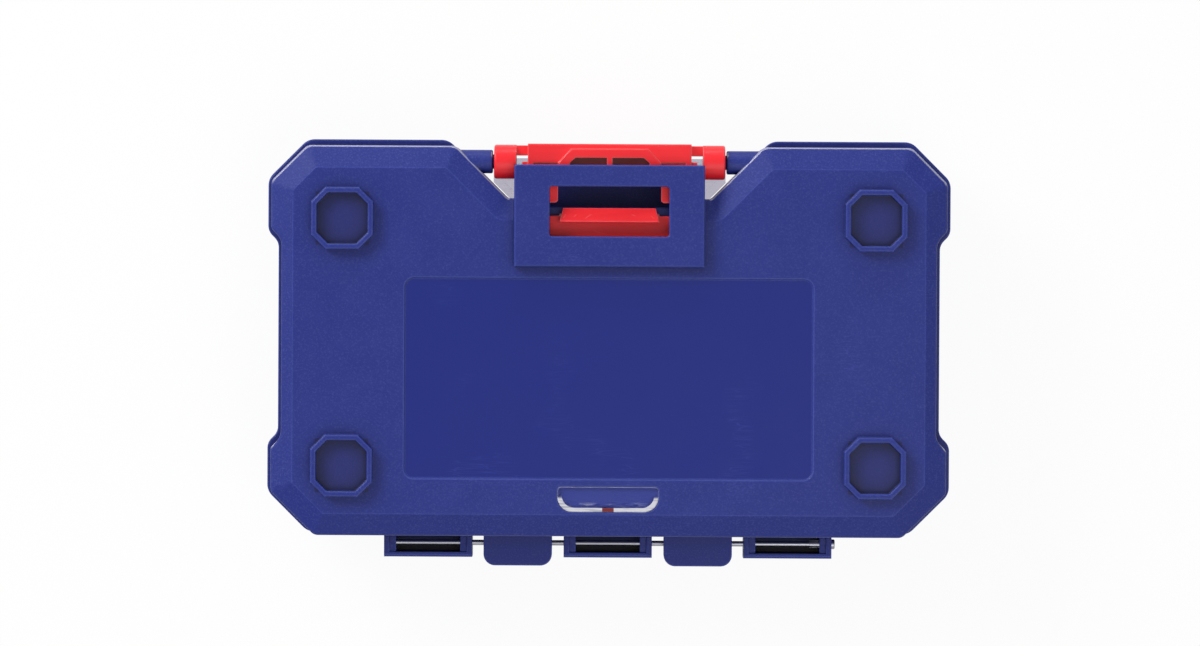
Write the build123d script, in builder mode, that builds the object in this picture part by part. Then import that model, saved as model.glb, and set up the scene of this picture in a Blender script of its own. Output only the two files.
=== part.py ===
"""Hinged socket case, lying on its clear front with its back up.

+X runs along the case, +Y points from the hinge to the latch, +Z points out of the back.
The origin is under the middle of the case, on the surface that it lies on.  Millimetres.
"""
from build123d import *
import os
from math import radians, tan

os.makedirs("parts", exist_ok=True)

# ---------------------------------------------------------------- driving dimensions
# Plan outline, at the rim of the front half
RIM_HALF_WIDTH = 124.5
RIM_TOP = 77.5
HINGE_SIDE = -65.8
TOP_CORNER_CUT = 14.4
HINGE_CORNER_CUT = 14.8
WAIST_DEPTH = 3.8
UPPER_BUMP_LENGTH = 19.3
LOWER_BUMP_LENGTH = 17.8
NOTCH_HALF_WIDTH = 36.7
NOTCH_DEPTH = 21.3
WELL_DEPTH = 3.0
CORNER_RADIUS = 6.0
WAIST_RADIUS = 5.0
WAIST_INNER_RADIUS = 6.0
NOTCH_RADIUS = 3.5
SMALLEST_ROUND = 1.0

# Heights above the surface
PARTING_HEIGHT = 19.0
CASE_HEIGHT = 46.0
PARTING_GAP = 0.2
GROOVE_HEIGHT = 1.4
GROOVE_DEPTH = 0.9

# Shells
WALL = 2.4
BACK_THICKNESS = 2.2
WELL_FLOOR_THICKNESS = 1.2
RIM_WIDTH = 1.5
RIM_HEIGHT = 3.6
BACK_EDGE_INSET = 2.5
MARGIN_WIDTH = 8.0
MARGIN_DROP = 3.5
MARGIN_THICKNESS = 1.3
MARGIN_OVERRUN = 0.25
SLOPE_NOTCH_SHARE = 0.6
EDGE_ROUND = 1.1
RIM_ROUND = 0.6
LIP_THICKNESS = 1.2
LIP_HEIGHT = 2.2
LIP_ROOT = 3.0
LIP_CLEARANCE = 0.35
FRONT_EDGE_CHAMFER = 0.8

# Octagonal rings on the back
RING_SIDE_SETBACK = 28.4
RING_TOP_SETBACK = 28.8
RING_HINGE_SETBACK = 25.4
RING_SIZE = 22.3
RING_CORNER_CUT = 5.2
RING_WALL = 2.0
RING_HEIGHT = 3.5
RING_ROUND = 0.4

# Label recess
LABEL_RING_GAP = 11.15
LABEL_COVER_GAP = 4.0
LABEL_HINGE_SETBACK = 20.7
LABEL_RADIUS = 3.6
LABEL_DEPTH = 0.4
LABEL_DRAFT = 45.0

# Sight lens
LENS_WIDTH = 36.5
LENS_LABEL_GAP = 2.6
LENS_DEPTH = 9.1
LENS_TOP_RADIUS = 1.4
LENS_BOTTOM_RADIUS = 5.4
LENS_RIM = 1.55
LENS_POCKET = 1.3
LENS_CLEARANCE = 0.1
LENS_RISE = 0.3
LENS_DISH = 0.6
LENS_ROUND = 0.5
MARKER_WIDTH = 4.1
MARKER_HEIGHT = 1.5
MARKER_CLEARANCE = 0.02
MARKER_SINK = 0.15

# Latch pivot
LATCH_AXIS_SETBACK = 8.1
LATCH_AXIS_DROP = 7.7
SLEEVE_RADIUS = 6.15
SLEEVE_INSET = 3.0
SLEEVE_LENGTH = 8.0
SLEEVE_GAP = 0.5
SLEEVE_ROUND = 0.8
SPIGOT_RADIUS = 2.6
SPIGOT_LENGTH = 7.0
SPIGOT_CLEARANCE = 0.25
BAR_RADIUS = 4.25
BAR_LENGTH = 15.8
BAR_ROUND = 0.6

# Latch, from its pivot
LATCH_SLEEVE_GAP = 4.2
LATCH_FRONT_REACH = 6.5
PANEL_THICKNESS = 2.5
DECK_RISE = 6.0
DECK_THICKNESS = 2.3
DECK_REACH = 7.6
DECK_ROUND = 0.7
LEDGE_OVERHANG = 2.1
LEDGE_SETBACK = 0.4
LEDGE_STEP = 0.45
ARM_WIDTH = 7.4
ARM_INSET = 3.5
ARM_TIP_CLEARANCE = 1.5
ARM_TIP_ROUND = 1.2
END_RIB_WIDTH = 2.0
BRIDGE_DROP = 4.8
BRIDGE_HEIGHT = 7.5
BRIDGE_REACH = 2.3
BRIDGE_SETBACK = 0.6
HOOK_THICKNESS = 2.6
HOOK_REACH = 4.6
HOOK_HALF_WIDTH = 24.0
HOOK_CLEARANCE = 0.4
HOOK_FACE_CLEARANCE = 0.3
GRIP_DEPTH = 0.4
GRIP_RIBS = 3
GRIP_RIB_HEIGHT = 1.0
GRIP_RIB_PITCH = 2.2

# Raised frame on the latch deck, and the two pockets in it
FRAME_HALF_WIDTH = 18.6
FRAME_TOP_HALF_WIDTH = 13.8
FRAME_RAISE = 0.9
FRAME_REAR = 3.0
FRAME_FRONT_SETBACK = 1.8
FRAME_ROUND = 0.3
POCKET_WIDTH = 13.4
POCKET_TAPER = 2.1
POCKET_REAR = 2.2
POCKET_FRONT = 1.9
POCKET_FLOOR = 0.9
POCKET_RIB = 2.0

# Lock cover
COVER_SIDE_GAP = 2.4
COVER_SETBACK = 1.1
COVER_LAP = 21.6
COVER_THICKNESS = 2.3
COVER_SEAT_MARGIN = 0.5
COVER_SEAT_DEPTH = 1.0
COVER_SEAT_SETBACK = 0.4
WINDOW_HALF_WIDTH = 21.5
WINDOW_TOP_BORDER = 7.8
WINDOW_BOTTOM_BORDER = 11.0
WINDOW_RADIUS = 0.9
COVER_ROUND = 0.5
COVER_CORNER_ROUND = 0.8
COVER_PAD_WIDTH = 7.4
COVER_PAD_ROOT = 0.8
COVER_PAD_OVERHANG = 0.4
COVER_FOOT_WIDTH = 3.6
COVER_SKIRT = 2.0
COVER_SKIRT_CLEARANCE = 1.0
COVER_SCREW_INSET = 3.0
COVER_SCREW_ROWS = (3.6, 14.8)
COVER_SCREW_SKIN = 0.9
COVER_BOSS_RADIUS = 3.0

# Lock slide
SLIDE_ARM_CLEARANCE = 0.3
SLIDE_BED_THICKNESS = 1.6
SLIDE_LENGTH = 13.8
SLIDE_SETBACK = 3.2
SLIDE_THICKNESS = 2.4
SLIDE_CLEARANCE = 0.2
SLIDE_SIDE_CLEARANCE = 0.4
SLIDE_ROUND = 0.4
RAMP_ARM_GAP = 0.6
RAMP_END_TAPER = 1.3
RAMP_REAR = 2.6
RAMP_FRONT = 2.8
RAMP_ROOT = 0.4
RAMP_TIP_HEIGHT = 2.0
RAMP_TIP_FLOOR = 0.6
RAMP_EDGE = 0.5
RAMP_COVER_CLEARANCE = 0.6
SPRING_SETBACK = 2.0
SPRING_WIDTH = 12.0
SPRING_LENGTH = 9.0
SPRING_FOOT = 2.0
SPRING_BOW = 0.45
SPRING_THICKNESS = 0.3
SPRING_POCKET_DEPTH = 0.8

# Hinge
HINGE_OFFSET = 3.7
HINGE_DROP = 1.0
ROD_RADIUS = 1.0
ROD_END_SETBACK = 0.4
ROD_HEAD_RADIUS = 1.8
ROD_HEAD_LENGTH = 1.2
ROD_HEAD_ROUND = 0.5
KNURL_RADIUS = 1.25
KNURL_DEPTH = 0.15
KNURL_TEETH = 14
KNURL_TOOTH = 0.28
KNURL_LENGTH = 3.6
BOX_PITCH = 65.6
BOX_HALF_WIDTH = 16.1
BOX_REACH = 5.25
BOX_DEPTH = 10.0
BOX_RISE = 1.9
BOX_WALL = 2.0
BOX_OUTER_WALL = 1.8
BOX_STEP = 2.4
BOX_STEP_RISE = 1.4
BOX_WINDOW_DEPTH = 7.5
BOX_WINDOW_LIP = 0.5
BOX_EDGE = 0.8
BOX_GAP = 1.1
EAR_SIDE_GAP = 4.25
EAR_REACH = 8.0
EAR_CORNER_RADIUS = 4.2
EAR_RISE = 6.0
EAR_UNDERSIDE = 0.3
KNUCKLE_RADIUS = 2.4
ROD_FIXED_CLEARANCE = 0.05
ROD_RUNNING_CLEARANCE = 0.15

# Front window and the keeper on it
FRONT_NOTCH_INSET = 0.6
WINDOW_PLATE = 2.0
WINDOW_SET_BACK = 0.3
FACE_THICKNESS = 4.4
FACE_BORDER = 15.0
FACE_NOTCH_BORDER = 6.0
WINDOW_SEAT = 3.0
WINDOW_FIT = 0.2
WINDOW_CORNER = 6.0
TONGUE_INSET = 2.0
KEEPER_SPREAD = 5.7
KEEPER_WALL = 2.0
KEEPER_DROP = 5.0
KEEPER_LEDGE = 2.0
KEEPER_LEDGE_MARGIN = 3.0
KEEPER_PANEL_CLEARANCE = 0.5
NOTCH_FIT = 0.4

# Inside
TRAY_DROP = 13.0
TRAY_THICKNESS = 2.0
TRAY_CLEARANCE = 0.3
POST_RADIUS = 4.6
POST_LENGTH = 11.0
POST_CHAMFER = 1.0
POST_PITCH = 22.0
POSTS_PER_ROW = 9
POST_ROW_OFFSETS = (29.8, 59.8)
SIDE_SCREW_INSET = 16.5
SIDE_SCREW_WELL_OFFSET = 27.2
SIDE_SCREW_HINGE_OFFSET = 13.8
MIDDLE_SCREW_OFFSETS = (43.8, 73.8)
BOSS_RADIUS = 4.0
BOSS_ROOT = 0.3
BOSS_RELIEF = 0.5
SCREW_RADIUS = 1.2
SCREW_HEAD_RADIUS = 2.4
SCREW_HEAD_HEIGHT = 1.8
SCREW_CLEARANCE = 0.05
SCREW_TIP_GAP = 0.1
SCREW_GRIP = 6.0
CLIP_SPACING = 90.0
CLIP_WELL_OFFSET = 28.2
CLIP_WIDTH = 10.0
CLIP_GAP = 12.0
CLIP_WALL = 2.0
CLIP_HEIGHT = 12.0

# How far tools overrun what they cut, and how far added blocks run into what they join
CUT = 1.0
JOIN = 1.0
HAIR = 0.01

# Shift of a 45 degree corner along its side, for each millimetre that the side moves in
MITRE = tan(radians(45 / 2))

# ---------------------------------------------------------------- derived places
# Outline
NOTCH_FLOOR = RIM_TOP - NOTCH_DEPTH
WELL_REAR = NOTCH_FLOOR - WELL_DEPTH
UPPER_BUMP_END = RIM_TOP - TOP_CORNER_CUT - UPPER_BUMP_LENGTH
LOWER_BUMP_END = HINGE_SIDE + HINGE_CORNER_CUT + LOWER_BUMP_LENGTH

# Rear shell
BACK_EDGE_Z = CASE_HEIGHT - MARGIN_DROP
SHELL_BOTTOM = PARTING_HEIGHT + PARTING_GAP
CAVITY_INSET = BACK_EDGE_INSET + WALL
CAVITY_TOP = BACK_EDGE_Z - MARGIN_THICKNESS
INNER_BACK = CASE_HEIGHT - BACK_THICKNESS
BACK_FLAT_INSET = BACK_EDGE_INSET + MARGIN_WIDTH
SLOPE_OUTSET = MARGIN_OVERRUN * MARGIN_WIDTH
SLOPE_FOOT = BACK_EDGE_Z - MARGIN_OVERRUN * MARGIN_DROP
WELL_FLOOR = SHELL_BOTTOM + WELL_FLOOR_THICKNESS

# Latch pivot and latch
LATCH_Y = RIM_TOP - LATCH_AXIS_SETBACK
LATCH_Z = CASE_HEIGHT - LATCH_AXIS_DROP
SLEEVE_INNER_X = NOTCH_HALF_WIDTH - SLEEVE_INSET
SLEEVE_OUTER_X = SLEEVE_INNER_X + SLEEVE_LENGTH
BAR_TIP_X = SLEEVE_OUTER_X + SLEEVE_GAP
BAR_END_X = BAR_TIP_X + BAR_LENGTH
LATCH_HALF_WIDTH = SLEEVE_INNER_X - LATCH_SLEEVE_GAP
LATCH_FRONT = LATCH_Y + LATCH_FRONT_REACH
PANEL_REAR = LATCH_FRONT - PANEL_THICKNESS
DECK_TOP = LATCH_Z + DECK_RISE
DECK_BOTTOM = DECK_TOP - DECK_THICKNESS
DECK_REAR = LATCH_Y - DECK_REACH
LEDGE_HALF_WIDTH = LATCH_HALF_WIDTH + LEDGE_OVERHANG
LEDGE_FRONT = LATCH_Y - LEDGE_SETBACK
ARM_OUTER_X = LATCH_HALF_WIDTH - ARM_INSET
ARM_INNER_X = ARM_OUTER_X - ARM_WIDTH
ARM_TIP = WELL_REAR + ARM_TIP_CLEARANCE
BRIDGE_BOTTOM = LATCH_Z - BRIDGE_DROP
BRIDGE_TOP = BRIDGE_BOTTOM + BRIDGE_HEIGHT
BRIDGE_REAR = LATCH_Y + BRIDGE_REACH

# Keeper, and the hook under its ledge
KEEPER_HEIGHT = PARTING_HEIGHT - KEEPER_DROP
KEEPER_HALF_WIDTH = NOTCH_HALF_WIDTH + KEEPER_SPREAD
KEEPER_TOP = LATCH_FRONT - HOOK_REACH - HOOK_FACE_CLEARANCE
KEEPER_LEDGE_TIP = PANEL_REAR - KEEPER_PANEL_CLEARANCE
HOOK_BOTTOM = KEEPER_HEIGHT - KEEPER_LEDGE - HOOK_CLEARANCE - HOOK_THICKNESS

# Lock cover
COVER_HALF_WIDTH = NOTCH_HALF_WIDTH - COVER_SIDE_GAP
COVER_TOP = LATCH_Y - COVER_SETBACK
COVER_BOTTOM = WELL_REAR - COVER_LAP
COVER_Z_TOP = CASE_HEIGHT + RING_HEIGHT
COVER_Z = COVER_Z_TOP - COVER_THICKNESS
COVER_PAD_TOP = NOTCH_FLOOR + COVER_PAD_OVERHANG
COVER_SKIRT_BOTTOM = DECK_TOP + COVER_SKIRT_CLEARANCE
WINDOW_TOP = COVER_TOP - WINDOW_TOP_BORDER
WINDOW_BOTTOM = COVER_BOTTOM + WINDOW_BOTTOM_BORDER
COVER_SCREW_X = COVER_HALF_WIDTH - COVER_SCREW_INSET
COVER_SCREW_SPOTS = [(x, COVER_BOTTOM + row) for x in (-COVER_SCREW_X, COVER_SCREW_X)
                     for row in COVER_SCREW_ROWS]
COVER_HOLE_TOP = COVER_Z_TOP - COVER_SCREW_SKIN

# Lock slide
SLIDE_HALF_WIDTH = ARM_OUTER_X
SLIDE_TOP = WELL_REAR - SLIDE_SETBACK
SLIDE_BOTTOM = SLIDE_TOP - SLIDE_LENGTH
SLIDE_Z_TOP = DECK_BOTTOM - SLIDE_ARM_CLEARANCE
SLIDE_Z = SLIDE_Z_TOP - SLIDE_THICKNESS
SLIDE_BED = SLIDE_Z - SLIDE_CLEARANCE
BED_HALF_WIDTH = SLIDE_HALF_WIDTH + SLIDE_SIDE_CLEARANCE
WELL_WALL_X = BED_HALF_WIDTH + WALL
BED_BOTTOM_EDGE = SLIDE_BOTTOM - SLIDE_SIDE_CLEARANCE
RAMP_HALF_WIDTH = ARM_INNER_X - RAMP_ARM_GAP
RAMP_BOTTOM = SLIDE_TOP - RAMP_REAR
RAMP_TOP = SLIDE_TOP + RAMP_FRONT
RAMP_CREST = COVER_Z - RAMP_COVER_CLEARANCE
SPRING_Y = SLIDE_BOTTOM + SPRING_SETBACK
SPRING_Z = SLIDE_BED - SPRING_POCKET_DEPTH

# Rings, label and lens
RING_X = RIM_HALF_WIDTH - RING_SIDE_SETBACK
RING_YS = (RIM_TOP - RING_TOP_SETBACK, HINGE_SIDE + RING_HINGE_SETBACK)
RING_SPOTS = [(x, y) for x in (-RING_X, RING_X) for y in RING_YS]
LABEL_HALF_WIDTH = RING_X - RING_SIZE / 2 - LABEL_RING_GAP
LABEL_TOP = COVER_BOTTOM - LABEL_COVER_GAP
LABEL_BOTTOM = HINGE_SIDE + LABEL_HINGE_SETBACK
LENS_TOP = LABEL_BOTTOM - LENS_LABEL_GAP
LENS_BOTTOM = LENS_TOP - LENS_DEPTH
LENS_SEAT = CASE_HEIGHT - LENS_POCKET
LENS_TOP_Z = CASE_HEIGHT + LENS_RISE
DISH_Z = LENS_TOP_Z - LENS_DISH

# Hinge
HINGE_Y = HINGE_SIDE - HINGE_OFFSET
HINGE_Z = PARTING_HEIGHT - HINGE_DROP
BOX_XS = (-BOX_PITCH, 0.0, BOX_PITCH)
BOX_OUTER = HINGE_Y - BOX_REACH
BOX_BOTTOM = HINGE_Z - BOX_DEPTH
EAR_XS = (-BOX_PITCH / 2, BOX_PITCH / 2)
EAR_HALF_WIDTH = BOX_PITCH / 2 - BOX_HALF_WIDTH - EAR_SIDE_GAP
EAR_OUTER = HINGE_Y - EAR_REACH

# Inside
TRAY_Z = CASE_HEIGHT - TRAY_DROP
TRAY_TOP = TRAY_Z + TRAY_THICKNESS
SIDE_SCREW_X = RIM_HALF_WIDTH - SIDE_SCREW_INSET
SIDE_SCREW_YS = (WELL_REAR - SIDE_SCREW_WELL_OFFSET, HINGE_SIDE + SIDE_SCREW_HINGE_OFFSET)
TRAY_SCREW_SPOTS = [(x, y) for x in (-SIDE_SCREW_X, SIDE_SCREW_X) for y in SIDE_SCREW_YS]
TRAY_SCREW_SPOTS += [(0.0, HINGE_SIDE + offset_y) for offset_y in MIDDLE_SCREW_OFFSETS]
CLIP_Y = WELL_REAR - CLIP_WELL_OFFSET


# ---------------------------------------------------------------- plan outline
def outline_corners(inset, hinge_inset, notch_inset, waisted):
    """Right-hand corners of the case outline, moved inwards, each with its round."""
    side = RIM_HALF_WIDTH - inset
    waist = side - WAIST_DEPTH
    top = RIM_TOP - inset
    slip = inset * MITRE
    bottom = HINGE_SIDE + hinge_inset
    notch_y = NOTCH_FLOOR - notch_inset
    notch_x = NOTCH_HALF_WIDTH + notch_inset * MITRE
    outer_round = max(CORNER_RADIUS - inset, SMALLEST_ROUND)
    bump_round = max(WAIST_RADIUS - inset, SMALLEST_ROUND)
    waist_round = min(WAIST_RADIUS + inset, WAIST_INNER_RADIUS)
    notch_round = (NOTCH_RADIUS + notch_inset) * (1 if waisted else SLOPE_NOTCH_SHARE)
    waist_corners = [
        (side, UPPER_BUMP_END + slip, bump_round),
        (waist, UPPER_BUMP_END - WAIST_DEPTH + slip, waist_round),
        (waist, LOWER_BUMP_END + WAIST_DEPTH - slip, waist_round),
        (side, LOWER_BUMP_END - slip, bump_round),
    ]
    return [
        (notch_x, notch_y, notch_round),
        (notch_x + top - notch_y, top, outer_round),
        (RIM_HALF_WIDTH - TOP_CORNER_CUT - slip, top, outer_round),
        (side, RIM_TOP - TOP_CORNER_CUT - slip, outer_round),
        *(waist_corners if waisted else []),
        (side, HINGE_SIDE + HINGE_CORNER_CUT + slip, outer_round),
        (side - HINGE_CORNER_CUT - slip + hinge_inset, bottom, outer_round),
    ]


def case_outline(height, inset, hinge_inset, notch_inset, waisted=True):
    """The closed outline as a sketch at a height."""
    right = outline_corners(inset, hinge_inset, notch_inset, waisted)
    left = [(-x, y, r) for x, y, r in reversed(right)]
    corners = right + left
    with BuildSketch(Plane.XY.offset(height)) as outline:
        with BuildLine():
            FilletPolyline(*[(x, y) for x, y, r in corners],
                           radius=[r for x, y, r in corners], close=True)
        make_face()
    return outline.sketch


def slab(x_min, x_max, y_min, y_max, z_min, z_max, mode=Mode.ADD):
    """A block between its limits, in the part that is being built."""
    with Locations(((x_min + x_max) / 2, (y_min + y_max) / 2, (z_min + z_max) / 2)):
        Box(x_max - x_min, y_max - y_min, z_max - z_min, mode=mode)


def slab_pair(x_min, x_max, y_min, y_max, z_min, z_max, mode=Mode.ADD):
    """A block and its mirror image across the middle of the case."""
    with Locations(*[(side * (x_min + x_max) / 2, (y_min + y_max) / 2, (z_min + z_max) / 2)
                     for side in (-1, 1)]):
        Box(x_max - x_min, y_max - y_min, z_max - z_min, mode=mode)


def slab_row(middles, half_width, y_min, y_max, z_min, z_max, mode=Mode.ADD):
    """Equal blocks at several places along X."""
    with Locations(*[(x, (y_min + y_max) / 2, (z_min + z_max) / 2) for x in middles]):
        Box(2 * half_width, y_max - y_min, z_max - z_min, mode=mode)


def pillars(spots, z_min, z_max, radius, mode=Mode.ADD):
    """Upright round pillars at several places."""
    with Locations(*[(x, y, (z_min + z_max) / 2) for x, y in spots]):
        Cylinder(radius, z_max - z_min, mode=mode)


def cross_rod(x_min, x_max, y, z, radius, mode=Mode.ADD):
    """A round rod along X."""
    with Locations(((x_min + x_max) / 2, y, z)):
        Cylinder(radius, x_max - x_min, rotation=(0, 90, 0), mode=mode)


def cross_rod_pair(x_min, x_max, y, z, radius, mode=Mode.ADD):
    """A round rod along X and its mirror image."""
    with Locations(((x_min + x_max) / 2, y, z), (-(x_min + x_max) / 2, y, z)):
        Cylinder(radius, x_max - x_min, rotation=(0, 90, 0), mode=mode)


def lens_outline(height, grow):
    """The D outline of the sight lens: small rounds at the top, large ones at the bottom."""
    half = LENS_WIDTH / 2 + grow
    top_round = max(LENS_TOP_RADIUS + grow, LENS_TOP_RADIUS - SMALLEST_ROUND)
    bottom_round = LENS_BOTTOM_RADIUS + grow / 2
    with BuildSketch(Plane.XY.offset(height)) as outline:
        with BuildLine():
            FilletPolyline((half, LENS_TOP + grow), (-half, LENS_TOP + grow),
                           (-half, LENS_BOTTOM - grow), (half, LENS_BOTTOM - grow),
                           radius=[top_round, top_round, bottom_round, bottom_round], close=True)
        make_face()
    return outline.sketch


def save(part, label):
    """Label a finished piece and write it."""
    part.label = label
    export_step(part, f"parts/{label}.step")
    print(label, len(part.solids()), round(part.volume))


# ---------------------------------------------------------------- rear shell
with BuildPart() as rear_shell:
    # outer body: groove at the parting line, and the wall
    extrude(case_outline(SHELL_BOTTOM, BACK_EDGE_INSET + GROOVE_DEPTH, 0.0, GROOVE_DEPTH), GROOVE_HEIGHT)
    extrude(case_outline(SHELL_BOTTOM + GROOVE_HEIGHT, BACK_EDGE_INSET, 0.0, 0.0),
            CASE_HEIGHT - SHELL_BOTTOM - GROOVE_HEIGHT)
    # sloped margin, whose planes run straight past the waist
    with BuildPart(mode=Mode.PRIVATE) as slopes:
        extrude(case_outline(0.0, BACK_EDGE_INSET - SLOPE_OUTSET, -SLOPE_OUTSET, -SLOPE_OUTSET, False),
                SLOPE_FOOT)
        loft([case_outline(SLOPE_FOOT, BACK_EDGE_INSET - SLOPE_OUTSET, -SLOPE_OUTSET, -SLOPE_OUTSET, False),
              case_outline(CASE_HEIGHT, BACK_FLAT_INSET, MARGIN_WIDTH, MARGIN_WIDTH, False)], ruled=True)
    add(slopes.part, mode=Mode.INTERSECT)
    walls = rear_shell.faces().filter_by(lambda f: abs(f.normal_at().Z) < HAIR)
    fillet(walls.edges().filter_by(lambda e: e.center().Z > BACK_EDGE_Z - HAIR), EDGE_ROUND)
    # flat seat of the lock cover, level with the back
    slab(-COVER_HALF_WIDTH - COVER_SEAT_MARGIN, COVER_HALF_WIDTH + COVER_SEAT_MARGIN,
         COVER_BOTTOM - COVER_SEAT_MARGIN, NOTCH_FLOOR - COVER_SEAT_SETBACK,
         BACK_EDGE_Z - COVER_SEAT_DEPTH, CASE_HEIGHT)
    # latch bars, trimmed by the hollow below
    cross_rod_pair(BAR_TIP_X, BAR_END_X, LATCH_Y, LATCH_Z, BAR_RADIUS)
    bar_tips = rear_shell.edges().filter_by(GeomType.CIRCLE).filter_by(
        lambda e: abs(e.radius - BAR_RADIUS) < HAIR and abs(abs(e.center().X) - BAR_TIP_X) < HAIR)
    fillet(bar_tips, BAR_ROUND)
    # hollow, stepped to follow the margin, and kept out of the slide bed
    with BuildPart(mode=Mode.PRIVATE) as hollow:
        extrude(case_outline(SHELL_BOTTOM, CAVITY_INSET, WALL, WALL), CAVITY_TOP - SHELL_BOTTOM)
        extrude(case_outline(CAVITY_TOP, BACK_FLAT_INSET + JOIN, MARGIN_WIDTH + JOIN, MARGIN_WIDTH + JOIN),
                INNER_BACK - CAVITY_TOP)
        slab(-WELL_WALL_X, WELL_WALL_X, BED_BOTTOM_EDGE - WALL, RIM_TOP,
             SLIDE_BED - SLIDE_BED_THICKNESS, CASE_HEIGHT, mode=Mode.SUBTRACT)
        slab(-WELL_WALL_X, WELL_WALL_X, WELL_REAR - WALL, RIM_TOP, SHELL_BOTTOM, CASE_HEIGHT,
             mode=Mode.SUBTRACT)
    add(hollow.part, mode=Mode.SUBTRACT)
    # slide bed, open to the notch, with a pocket for the leaf spring
    slab(-BED_HALF_WIDTH, BED_HALF_WIDTH, BED_BOTTOM_EDGE, NOTCH_FLOOR + CUT, SLIDE_BED, CASE_HEIGHT + CUT,
         mode=Mode.SUBTRACT)
    slab(-SPRING_WIDTH / 2 - SLIDE_CLEARANCE, SPRING_WIDTH / 2 + SLIDE_CLEARANCE,
         SPRING_Y - SLIDE_CLEARANCE, SPRING_Y + SPRING_LENGTH + SLIDE_CLEARANCE,
         SPRING_Z, SLIDE_BED + CUT, mode=Mode.SUBTRACT)
    # well behind the notch for the latch arms, with its floor under the lock
    slab(-BED_HALF_WIDTH, BED_HALF_WIDTH, WELL_REAR, NOTCH_FLOOR + CUT, WELL_FLOOR, CASE_HEIGHT + CUT,
         mode=Mode.SUBTRACT)
    slab(-WELL_WALL_X, WELL_WALL_X, WELL_REAR - JOIN, DECK_REAR, SHELL_BOTTOM, WELL_FLOOR)
    # spigots that the latch sleeves turn on
    cross_rod_pair(SLEEVE_OUTER_X - SPIGOT_LENGTH, BAR_TIP_X + JOIN, LATCH_Y, LATCH_Z, SPIGOT_RADIUS)
    # rings
    with BuildSketch(Plane.XY.offset(CASE_HEIGHT)) as ring_plan:
        with Locations(*RING_SPOTS):
            Rectangle(RING_SIZE, RING_SIZE)
        chamfer(ring_plan.vertices(), RING_CORNER_CUT)
        offset(amount=-RING_WALL, kind=Kind.INTERSECTION, mode=Mode.SUBTRACT)
    extrude(amount=RING_HEIGHT)
    ring_tops = rear_shell.faces().filter_by(Axis.Z).filter_by_position(
        Axis.Z, COVER_Z_TOP - HAIR, COVER_Z_TOP + HAIR)
    fillet(ring_tops.edges(), RING_ROUND)
    # label recess
    with BuildSketch(Plane.XY.offset(CASE_HEIGHT)):
        with Locations((0, (LABEL_TOP + LABEL_BOTTOM) / 2)):
            RectangleRounded(2 * LABEL_HALF_WIDTH, LABEL_TOP - LABEL_BOTTOM, LABEL_RADIUS)
    extrude(amount=-LABEL_DEPTH, taper=LABEL_DRAFT, mode=Mode.SUBTRACT)
    # pocket of the sight lens
    extrude(lens_outline(LENS_SEAT, LENS_CLEARANCE), LENS_POCKET + CUT, mode=Mode.SUBTRACT)
    # hinge ears: plate with rounded corners over a knuckle round the rod
    for ear_x in EAR_XS:
        with BuildSketch(Plane.XY.offset(HINGE_Z + EAR_UNDERSIDE)):
            with BuildLine():
                FilletPolyline((ear_x - EAR_HALF_WIDTH, HINGE_Y), (ear_x - EAR_HALF_WIDTH, EAR_OUTER),
                               (ear_x + EAR_HALF_WIDTH, EAR_OUTER), (ear_x + EAR_HALF_WIDTH, HINGE_Y),
                               radius=[0.0, EAR_CORNER_RADIUS, EAR_CORNER_RADIUS, 0.0], close=True)
            make_face()
        extrude(amount=EAR_RISE - EAR_UNDERSIDE)
        cross_rod(ear_x - EAR_HALF_WIDTH, ear_x + EAR_HALF_WIDTH, HINGE_Y, HINGE_Z, KNUCKLE_RADIUS)
    slab_row(EAR_XS, EAR_HALF_WIDTH, HINGE_Y, HINGE_SIDE + JOIN, SHELL_BOTTOM + EAR_UNDERSIDE,
             HINGE_Z + EAR_RISE)
    cross_rod(-RIM_HALF_WIDTH, RIM_HALF_WIDTH, HINGE_Y, HINGE_Z, ROD_RADIUS + ROD_RUNNING_CLEARANCE,
              mode=Mode.SUBTRACT)
    # bosses for the tray and cover screws
    pillars(TRAY_SCREW_SPOTS, TRAY_TOP, INNER_BACK + BOSS_ROOT, BOSS_RADIUS)
    pillars(TRAY_SCREW_SPOTS, TRAY_TOP, TRAY_TOP + SCREW_GRIP, SCREW_RADIUS + SCREW_CLEARANCE,
            mode=Mode.SUBTRACT)
    pillars(COVER_SCREW_SPOTS[::2], CAVITY_TOP, INNER_BACK + BOSS_ROOT, COVER_BOSS_RADIUS)
    pillars(COVER_SCREW_SPOTS, CAVITY_TOP, CASE_HEIGHT + CUT, SCREW_RADIUS + SCREW_CLEARANCE,
            mode=Mode.SUBTRACT)
save(rear_shell.part, "rear_shell")

# ---------------------------------------------------------------- front frame
LIP_INSET = CAVITY_INSET + LIP_CLEARANCE
LIP_SIDE_INSET = WALL + LIP_CLEARANCE
FACE_INSET = RIM_WIDTH + FACE_BORDER
OPENING_HALF_WIDTH = RIM_HALF_WIDTH - FACE_INSET
OPENING_TOP = NOTCH_FLOOR - FRONT_NOTCH_INSET - FACE_NOTCH_BORDER
OPENING_BOTTOM = HINGE_SIDE + FACE_BORDER
PLATE_HALF_WIDTH = OPENING_HALF_WIDTH + WINDOW_SEAT
PLATE_TOP = OPENING_TOP + WINDOW_SEAT
PLATE_BOTTOM = OPENING_BOTTOM - WINDOW_SEAT
TONGUE_HALF_WIDTH = NOTCH_HALF_WIDTH - TONGUE_INSET
BOX_POCKET = BOX_HALF_WIDTH - BOX_WALL
BOX_INNER = BOX_OUTER + BOX_OUTER_WALL

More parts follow.
